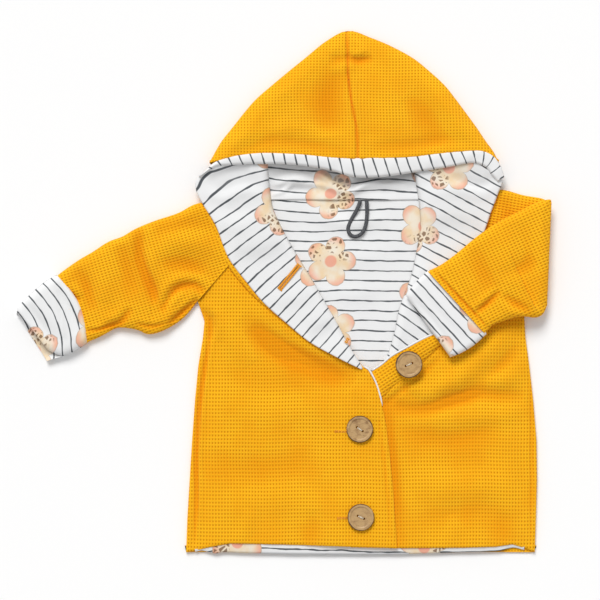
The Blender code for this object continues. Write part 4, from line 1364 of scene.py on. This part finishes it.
    def lining(self) -> None:
        """The lining inside the hood: it lies on the underside and rises into wrinkles behind the neck."""
        outline = np.array(HOOD_LINING, float)
        cloth = woven(outline, HOOD_LINING_WEAVE)
        x, y = cloth.xy.T
        z = self.lining_base + creased(cloth.xy, self.lining_creases)
        z = z + 1.1 * (1 - ease((y - 84) / 8)) + 3.2 * ease((y - 94) / 26)
        z = z + 0.3 * np.sin(x / 8.0) * np.sin(y / 7.0)
        surface = lifted(cloth, np.clip(z, self.lining_low, self.lining_high))
        sag = self.lining_sag * np.exp(-(((x - 58) / 24) ** 2)) * ease((y - 80) / 22)
        drift = 2.0 * np.sin(x / 17.0 + 0.6)
        surface.threads = np.column_stack([x, y + sag + drift - 2.6 * ease((y - 84) / 30) + PRINT_SHIFT])
        piece = put("hood_lining_cloth", surface, self.finishes.jersey, ["hood_lining"],
                    wall=JERSEY_WALL, valleys=self.lining_creases)

    def band(self) -> None:
        """The lining turned over the hood's front edge: a roll that bulges between its two sides."""
        points, inset = ruled(HOOD_BAND, 12, 14)
        width = inset[:, -1:]
        share = inset / np.maximum(width, 1e-6)
        edge = points[:, 0, :2]
        run = np.concatenate([[0], np.cumsum(np.linalg.norm(np.diff(edge, axis=0), axis=1))])
        along = run[:, None]
        puckers = 0.35 * np.sin(along / 5.3) * np.sin(math.pi * share) + 0.25 * np.sin(along / 2.9) * share
        z = points[..., 2] + self.band_crown * np.sin(math.pi * share**0.8) + self.band_rise * share + puckers
        z = z - 2.6 * (1 - rolled(width - inset, 2.4))
        near = beside(points[..., :2].reshape(-1, 2), edge)
        place = near.share.reshape(share.shape) * run[-1]
        threads = np.stack([inset, 0.9 * place - 0.25 * inset], axis=2)
        surface = face_up(grid_surface(np.dstack([points[..., :2], z]), threads))
        piece = put("hood_band_cloth", surface, self.finishes.jersey, ["hood_band"],
                    wall=JERSEY_WALL)


# --------------------------------------------------------------------------- the sleeves

SLEEVE_RIGHT = (
    (-15.5, 63.3, -77.8, -8.6, 0, 7.0), (-40, 83, -86, -19, 0, 7.0), (-76, 80, -95, -27, 0, 7.4),
    (-95, 71, -109, -35, 0, 9.0), (-116, 64, -122, -38, 0, 10.0), (-133, 57, -132, -34, 0, 9.0),
    (-145, 50, -145, -32, 0, 9.5), (-158, 45, -152, -33, 0, 10.0), (-172, 36, -161, -38, 0, 9.5),
    (-184, 29, -169, -42, 0, 9.0), (-197, 20, -174, -44, 0, 8.0), (-207, 12, -180, -48, 0, 7.4))
CUFF_RIGHT = (
    (-204.2, 15.4, -176.8, -46, 0, 9.8), (-215, 9, -186, -52, 0, 10.2), (-228, -2, -197, -57, 0, 10.0),
    (-237, -11, -204, -56, 0, 9.6), (-240.5, -15, -212, -52, 0, 9.0))
CUFF_RIGHT_UNDER = (
    (-204.2, 15.4, -176.8, -46, 0, 9.8), (-215, 9, -186, -52, 0, 10.2), (-228, -2, -197, -57, 0, 10.0),
    (-237, -12, -207, -60, 0, 9.6), (-240.5, -20, -213, -62, 0, 9.0))
UPPER_ARM_LEFT = (
    (131.8, 76.4, 216.6, -21.2, 0, 7.0), (167, 88, 220, -20, 0, 7.0), (194, 92, 224, -19, 0, 7.0),
    (215, 87, 228, -18, 0, 7.0), (232, 84, 231, -16, 0, 7.0), (238, 80, 235, -11, 0, 7.0))
SLEEVE_LEFT = (
    (240, 80, 236, -12, 7.0, 8.0), (238, 83, 232, -20, 7.4, 8.6), (226, 80, 225, -23, 8.4, 9.5),
    (210, 72, 214, -22, 10.6, 9.5), (192, 63, 203, -24, 11.4, 9.0), (172, 49, 194, -27, 11.4, 8.5),
    (154, 34, 187, -30, 11.4, 8.0), (140, 24, 183, -34, 11.4, 7.6), (128.5, 18.6, 180.2, -38, 11.4, 7.4))
CUFF_LEFT = (
    (129.5, 19.6, 181.6, -37.6, 11.4, 6.6), (121, 12, 171, -47, 11.3, 7.6), (114, 4, 160, -54, 11.3, 7.4),
    (109, -3, 149, -58.5, 11.3, 7.0))


@dataclass
class Tube:
    """A flattened tube between two edges, with a base height and a thickness along it."""

    rows: Sequence[Sequence[float]]
    radius: float = 9.0
    ends: tuple[float, float] = (0.0, 0.0)
    clearance: float = 0.1

    def __post_init__(self) -> None:
        """Smooth both edges."""
        table = np.array(self.rows, float)
        self.table = smooth_table(table, 6)
        self.side_a, self.side_b = self.table[:, :2], self.table[:, 2:4]
        self.outline = np.vstack([self.side_a, self.side_b[::-1]])

    def measured(self, xy: Array) -> tuple[Array, Array, Array]:
        """Each point's base height and thickness, and how round the tube is there, from 0 to 1."""
        a, b = beside(xy, self.side_a), beside(xy, self.side_b)
        place = (a.share * b.away + b.share * a.away) / np.maximum(a.away + b.away, 1e-6)
        station = np.linspace(0, 1, len(self.table))
        base = np.interp(place, station, self.table[:, 4])
        tall = np.interp(place, station, self.table[:, 5])
        full = rolled(a.away, self.radius) * rolled(b.away, self.radius)
        for end, line in zip(self.ends, (self.table[0], self.table[-1])):
            if end:
                full = full * rolled(beside(xy, np.array([line[:2], line[2:4]])).away, end)
        return base, tall, full

    def lower_side(self, weave: Weave, gap: float, below: bool = True) -> Surface:
        """The tube's lower side, raised by a gap, facing down or up: base + tall / 2 * (1 - roundness)."""
        cloth = woven(self.outline, weave)
        base, tall, full = self.measured(cloth.xy)
        return lifted(cloth, base + tall / 2 * (1 - full) + gap, below=below)

    def surface(self, weave: Weave, creases: Sequence[Crease], swell: float = 0.0) -> Surface:
        """Both sides of the tube: the top is base + tall / 2 * (1 + roundness), with relief and creases."""
        upper = woven(self.outline, weave)
        base, tall, full = self.measured(upper.xy)
        lift = (creased(upper.xy, creases) + billow(upper.xy + 50, 0.4)) * ease(full * 1.2)
        z = base + tall / 2 * (1 + full) + swell * full + lift + waffle_relief(upper)
        return lifted(upper, z).joined(self.lower_side(weave.split(2), self.clearance))


@dataclass
class Sleeves:
    """The sleeve laid out to the side and the one folded over the front, with their turned-back cuffs."""

    finishes: Finishes
    cuff_bow: float = 8.0
    cuff_bed: float = 1.2
    right_creases: tuple[Crease, ...] = (
        Crease(((-130, 58), (-129, 30), (-118.5, 4), (-109, -18)), 5.5, -4.2, 2.2),
        Crease(((-109, -20), (-103.5, -7), (-95, 4), (-80, 6), (-70, -2)), 3.8, -3.4, 1.8),
        Crease(((-105, -30), (-92, -18.5), (-77, -6)), 2.4, -3.2, 0.8),
        Crease(((-88, 0), (-98, -8), (-104, -22)), 5.0, 2.2),
        Crease(((-164, -31), (-147, -27), (-137, -14)), 3.4, -2.8, 1.2),
        Crease(((-179, -35), (-165, -33.5), (-150, -28)), 1.8, -2.0, 0.6),
        Crease(((-134, -28), (-118, -31), (-104, -27)), 2.2, -1.7, 0.6),
        Crease(((-196, 4), (-190, -4), (-182, -8)), 3.2, -3.2, 1.4),
        Crease(((-164, 38), (-158, 16), (-160, -10)), 9, 1.9, -0.6),
        Crease(((-186, 22), (-177, 6), (-172, -18)), 6, -1.9, 0.9),
        Crease(((-46, 30), (-76, 42), (-112, 46)), 11, 1.9, -0.8),
        Crease(((-58, 58), (-90, 60), (-120, 50)), 8, -1.4, 0.8),
        Crease(((-70, 18), (-92, 26), (-116, 24)), 8, -1.6, 0.8),
        Crease(((-146, 44), (-140, 20), (-132, -2)), 7, -1.4, 0.8),
    )
    left_creases: tuple[Crease, ...] = (
        Crease(((170, -20), (180, -12), (194, 1)), 2.6, -2.72, 1.5),
        Crease(((131.7, 22.0), (158, -6), (184, -33.5)), 1.1, -2.08, 0.9),
        Crease(((236, 70), (230, 50), (234, 20), (232, -8)), 8, 1.28, -0.75),
        Crease(((196, 56), (204, 30), (200, 6)), 10, 1.44, -0.6),
        Crease(((226, 30), (208, 20), (190, 14)), 7, -1.6, 0.9),
        Crease(((168, 44), (178, 20), (190, -4)), 8, -1.28, 0.75),
        Crease(((222, -18), (206, -10), (196, -2)), 4, -2.24, 1.2),
        Crease(((150, 28), (160, 12), (176, -12)), 6, 0.96),
    )
    upper_arm_creases: tuple[Crease, ...] = (Crease(((196, 88), (206, 60), (222, 30)), 7, -1.6, 0.9),)
    cuff_right_creases: tuple[Crease, ...] = (
        Crease(((-212, 8), (-206, -10), (-196, -42)), 4, 1.5, -0.8),
        Crease(((-234, -8), (-222, -24), (-206, -46)), 5, -1.8, 0.9),
        Crease(((-202, 2), (-192, -16), (-186, -38)), 3, -1.3, 0.7),
    )
    cuff_left_creases: tuple[Crease, ...] = (
        Crease(((124, 8), (142, -12), (164, -38)), 5, 1.12, -0.45),
        Crease(((112, -4), (130, -22), (150, -50)), 3, -1.12, 0.6),
    )

    def build(self) -> None:
        """Build both sleeves and their cuffs."""
        arm = Tube(UPPER_ARM_LEFT, 7.0, (0.0, 6.0))
        forearm = Tube(SLEEVE_LEFT, 8.0, (10.0, 0.0))
        self.cloth_tube("sleeve_right", Tube(SLEEVE_RIGHT), ARM_RIGHT_WEAVE, self.right_creases, 1.2)
        self.cloth_tube("upper_arm_left", arm, ARM_LEFT_WEAVE, self.upper_arm_creases, 0.0)
        self.cloth_tube("sleeve_left", forearm, FOREARM_WEAVE, self.left_creases, 1.0)
        self.cuff_right()
        self.cuff_left()

    def cloth_tube(self, node: str, tube: Tube, weave: Weave, creases: Sequence[Crease],
                   swell: float) -> None:
        """One stretch of sleeve in waffle knit."""
        piece = put(f"{node}_cloth", tube.surface(weave, creases, swell), self.finishes.waffle,
                    [node], valleys=creases)

    @staticmethod
    def cuff_threads(surface: Surface, origin: Point, angle: float) -> None:
        """Turn a cuff's stripes parallel to its seam."""
        x, y = (surface.points[:, :2] - origin).T
        run, side = heading(angle)
        surface.threads = np.column_stack([x * run[0] + y * run[1], x * side[0] + y * side[1]])

    def cuff_right(self) -> None:
        """The right cuff: the upper layer stops short of the lower one, so its mouth shows."""
        tube = Tube(CUFF_RIGHT, 8.0)
        a, b = (np.array(CUFF_RIGHT[0][k : k + 2]) for k in (0, 2))
        share = np.linspace(0, 1, 13)[:, None]
        bow = self.cuff_bow * np.sin(math.pi * share) * np.array([0.9, 0.43])
        arc = a * (1 - share) + b * share + bow
        outline = np.vstack([tube.side_a[::-1], arc[1:-1], tube.side_b])
        upper = woven(outline, CUFF_RIGHT_WEAVE)
        base, tall, full = tube.measured(upper.xy)
        seam = beside(upper.xy, arc)
        mouth = beside(upper.xy, np.array([CUFF_RIGHT[-1][:2], CUFF_RIGHT[-1][2:4]]))
        lift = creased(upper.xy, self.cuff_right_creases) * full
        z = base + tall / 2 * (1 + full) + 0.5 + lift - 2.2 * (1 - rolled(seam.away, 3.0))
        top = hemmed(upper, z - 0.8 * (1 - rolled(mouth.away, 2.0)), JERSEY_WALL, 3.0)
        under = Tube(CUFF_RIGHT_UNDER, 8.0)
        bed = under.lower_side(CUFF_RIGHT_BED_WEAVE, self.cuff_bed, below=False)
        surface = top.joined(bed).joined(under.lower_side(CUFF_RIGHT_BED_WEAVE, under.clearance))
        self.cuff_threads(surface, (-190, -16), -66.0)
        across = np.clip(surface.threads[:, 0] / 34, -1, 1)
        surface.threads[:, 1] -= self.cuff_bow * (1 - across * across) - 2.0
        piece = put("cuff_right_cloth", surface, self.finishes.cuff_jersey, ["cuff_right"])

    def cuff_left(self) -> None:
        """The left cuff, which lies on the front: its far end is rounded, with the stripes along the seam."""
        tube = Tube(CUFF_LEFT, 5.0, (0.0, 4.0))
        upper = woven(tube.outline, CUFF_LEFT_WEAVE)
        base, tall, full = tube.measured(upper.xy)
        z = base + tall / 2 * (1 + full) + creased(upper.xy, self.cuff_left_creases) * full
        surface = lifted(upper, z).joined(tube.lower_side(CUFF_LEFT_BED_WEAVE, tube.clearance))
        self.cuff_threads(surface, (155, -9), -47.0)
        piece = put("cuff_left_cloth", surface, self.finishes.cuff_jersey, ["cuff_left"])


# --------------------------------------------------------------------------- the small parts

@dataclass(frozen=True)
class ButtonPlace:
    """A button's node, its middle, its face's height and the turn of its two holes."""

    node: str
    x: float
    y: float
    face: float
    turn: float


@dataclass(frozen=True)
class Buttonhole:
    """A worked slit: its middle, length, width, angle in degrees and height."""

    x: float
    y: float
    length: float
    width: float
    angle: float
    z: float


@dataclass
class Fastenings:
    """The shell buttons' finish and thread, the worked buttonholes and the hanging loop."""

    finishes: Finishes
    hole_spacing: float = 6.2
    thread_radius: float = 0.26
    thread_pitch: float = 0.35
    thread_dip: float = 0.9
    stitch_radius: float = 0.42
    stitch_pitch: float = 0.75
    bar_pitch: float = 0.6
    slit: float = 0.05
    loop_diameter: float = 3.2
    loop_height: float = 5.5
    loop_braid: float = 0.2
    mottles: tuple[float, ...] = (0.7, 1.0, 0.55)
    buttons: tuple[ButtonPlace, ...] = (
        ButtonPlace("button_top", 112, -65, 14.6, 25),
        ButtonPlace("button_middle", 68, -123, 12.1, -35),
        ButtonPlace("button_low", 69, -202, 12.1, -25),
    )
    holes: tuple[Buttonhole, ...] = (
        Buttonhole(4.8, 13.4, 27, 4.8, 51, 12.0),
        Buttonhole(54.5, -125.4, 16, 2.2, -3, 9.4),
        Buttonhole(55.5, -202.8, 14, 2.2, 2, 9.4),
        Buttonhole(56.5, -43.5, 3, 2.6, 60, 12.4),
    )
    loop_route: tuple[Point, ...] = (
        (68.6, 82.5), (67.6, 79), (65, 73), (60, 64), (57.6, 57), (59.6, 51.5), (64.6, 49.8), (70.2, 53),
        (73.4, 60), (74.6, 70), (74.4, 78), (74.2, 82.5))

    def build(self) -> None:
        """Dress the buttons and build the rest."""
        for number, (place, mottle) in enumerate(zip(self.buttons, self.mottles), start=1):
            shell = ShellFinish(mottle=mottle)
            finish = shell.material(f"coconut shell {number}", (place.x, place.y), 0.31 * number)
            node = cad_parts[place.node]
            node.data.materials.clear()
            node.data.materials.append(finish)
            self.button_thread(place)
        self.buttonholes()
        self.loop()

    def button_thread(self, place: ButtonPlace) -> None:
        """The thread that crosses from hole to hole, four passes side by side."""
        run, side = heading(place.turn)
        middle = np.array([place.x, place.y, place.face + self.thread_pitch])
        passes = np.array([-self.thread_pitch, 0.0, self.thread_pitch])[:, None] * side[None]
        reach = self.hole_spacing / 2 - self.thread_pitch
        dip = np.array([0, 0, self.thread_dip])
        near, far = middle + passes - 0.6 * reach * run, middle + passes + 0.6 * reach * run
        starts = np.vstack([near, near, far])
        ends = np.vstack([far, near - 0.4 * reach * run - dip, far + 0.4 * reach * run - dip])
        surface = bars(starts, ends, self.thread_radius)
        put(f"{place.node}_thread", surface, self.finishes.cream_thread)

    def buttonholes(self) -> None:
        """Each buttonhole is two rows of close stitches across its lips, and a bar at each end."""
        starts, ends = [], []
        for hole in self.holes:
            run, side = heading(hole.angle)
            middle = np.array([hole.x, hole.y, hole.z])
            long, wide = hole.length / 2, hole.width / 2
            along = middle + np.arange(-long, long, self.stitch_pitch)[:, None] * run[None]
            cross = middle + np.arange(-wide, wide, self.bar_pitch)[:, None] * side[None]
            for hand in (-1, 1):
                starts += [along + hand * side * self.slit, cross + hand * run * (long - 0.4)]
                ends += [along + hand * side * wide, cross + hand * run * (long + 1.1)]
        surface = bars(np.vstack(starts), np.vstack(ends), self.stitch_radius)
        put("buttonhole_stitches", surface, self.finishes.mustard_thread)

    def loop(self) -> None:
        """The braided hanging loop, from the neck seam and back to it."""
        flat = even_route(self.loop_route, 0.6)
        route = np.column_stack([flat, np.full(len(flat), self.loop_height)])
        surface = tube_surface(route, self.loop_diameter / 2 - 0.05, 12, braid=self.loop_braid)
        piece = put("hanging_loop_cord", surface, self.finishes.cord, ["hanging_loop"])


# --------------------------------------------------------------------------- the studio

@dataclass
class Studio:
    """A white table, soft light from above, and a camera straight overhead."""

    frame_width: float = 540.0
    centre: Point = (14.4, -7.2)
    height: float = 3000.0
    sensor: float = 36.0
    sun_strength: float = 2.22
    sun_spread: float = 28.0
    sun_turn: Point = (-42.0, -15.0)
    sky_strength: float = 0.52
    table_reach: float = 6.0

    def build(self) -> None:
        """Build the table, the lights and the camera."""
        self.table()
        self.lights()
        self.camera()
        bpy.context.scene.view_settings.view_transform = "Standard"

    def table(self) -> None:
        """A large plain white plane just under the jacket."""
        made, _, shader = start_material("white table")
        shader.inputs["Base Color"].default_value = (0.97, 0.97, 0.972, 1)
        shader.inputs["Roughness"].default_value = 0.8
        mesh = bpy.data.meshes.new("table")
        reach = self.table_reach
        corners = [(-reach, -reach, 0), (reach, -reach, 0), (reach, reach, 0), (-reach, reach, 0)]
        mesh.from_pydata(corners, [], [(0, 1, 2, 3)])
        mesh.materials.append(made)
        table = bpy.data.objects.new("table", mesh)
        bpy.context.scene.collection.objects.link(table)

    def lights(self) -> None:
        """A white sky, and a broad soft light from beyond the hood."""
        world = bpy.data.worlds.new("studio")
        world.use_nodes = True
        sky = world.node_tree.nodes["Background"]
        sky.inputs["Color"].default_value = (1, 1, 1, 1)
        sky.inputs["Strength"].default_value = self.sky_strength
        bpy.context.scene.world = world
        lamp = bpy.data.lights.new("window", "SUN")
        lamp.energy = self.sun_strength
        lamp.angle = math.radians(self.sun_spread)
        lamp.color = (1.0, 0.995, 0.985)
        window = bpy.data.objects.new("window", lamp)
        window.rotation_euler = (*np.radians(self.sun_turn), 0)
        bpy.context.scene.collection.objects.link(window)

    def camera(self) -> None:
        """A camera that looks straight down on the photograph's frame."""
        data = bpy.data.cameras.new("camera")
        data.sensor_width = self.sensor
        data.lens = self.sensor * self.height / self.frame_width
        data.clip_end = 100
        camera = bpy.data.objects.new("camera", data)
        camera.location = (self.centre[0] * MM, self.centre[1] * MM, self.height * MM)
        bpy.context.scene.collection.objects.link(camera)
        bpy.context.scene.camera = camera


def main() -> None:
    """Build the studio and the jacket, part by part."""
    logging.basicConfig(level=logging.INFO, format="%(name)s: %(message)s")
    Studio().build()
    finishes = make_finishes()
    for part in (Body(finishes), Lapels(finishes), Hood(finishes), Sleeves(finishes), Fastenings(finishes)):
        part.build()


if __name__ == "__main__":
    main()
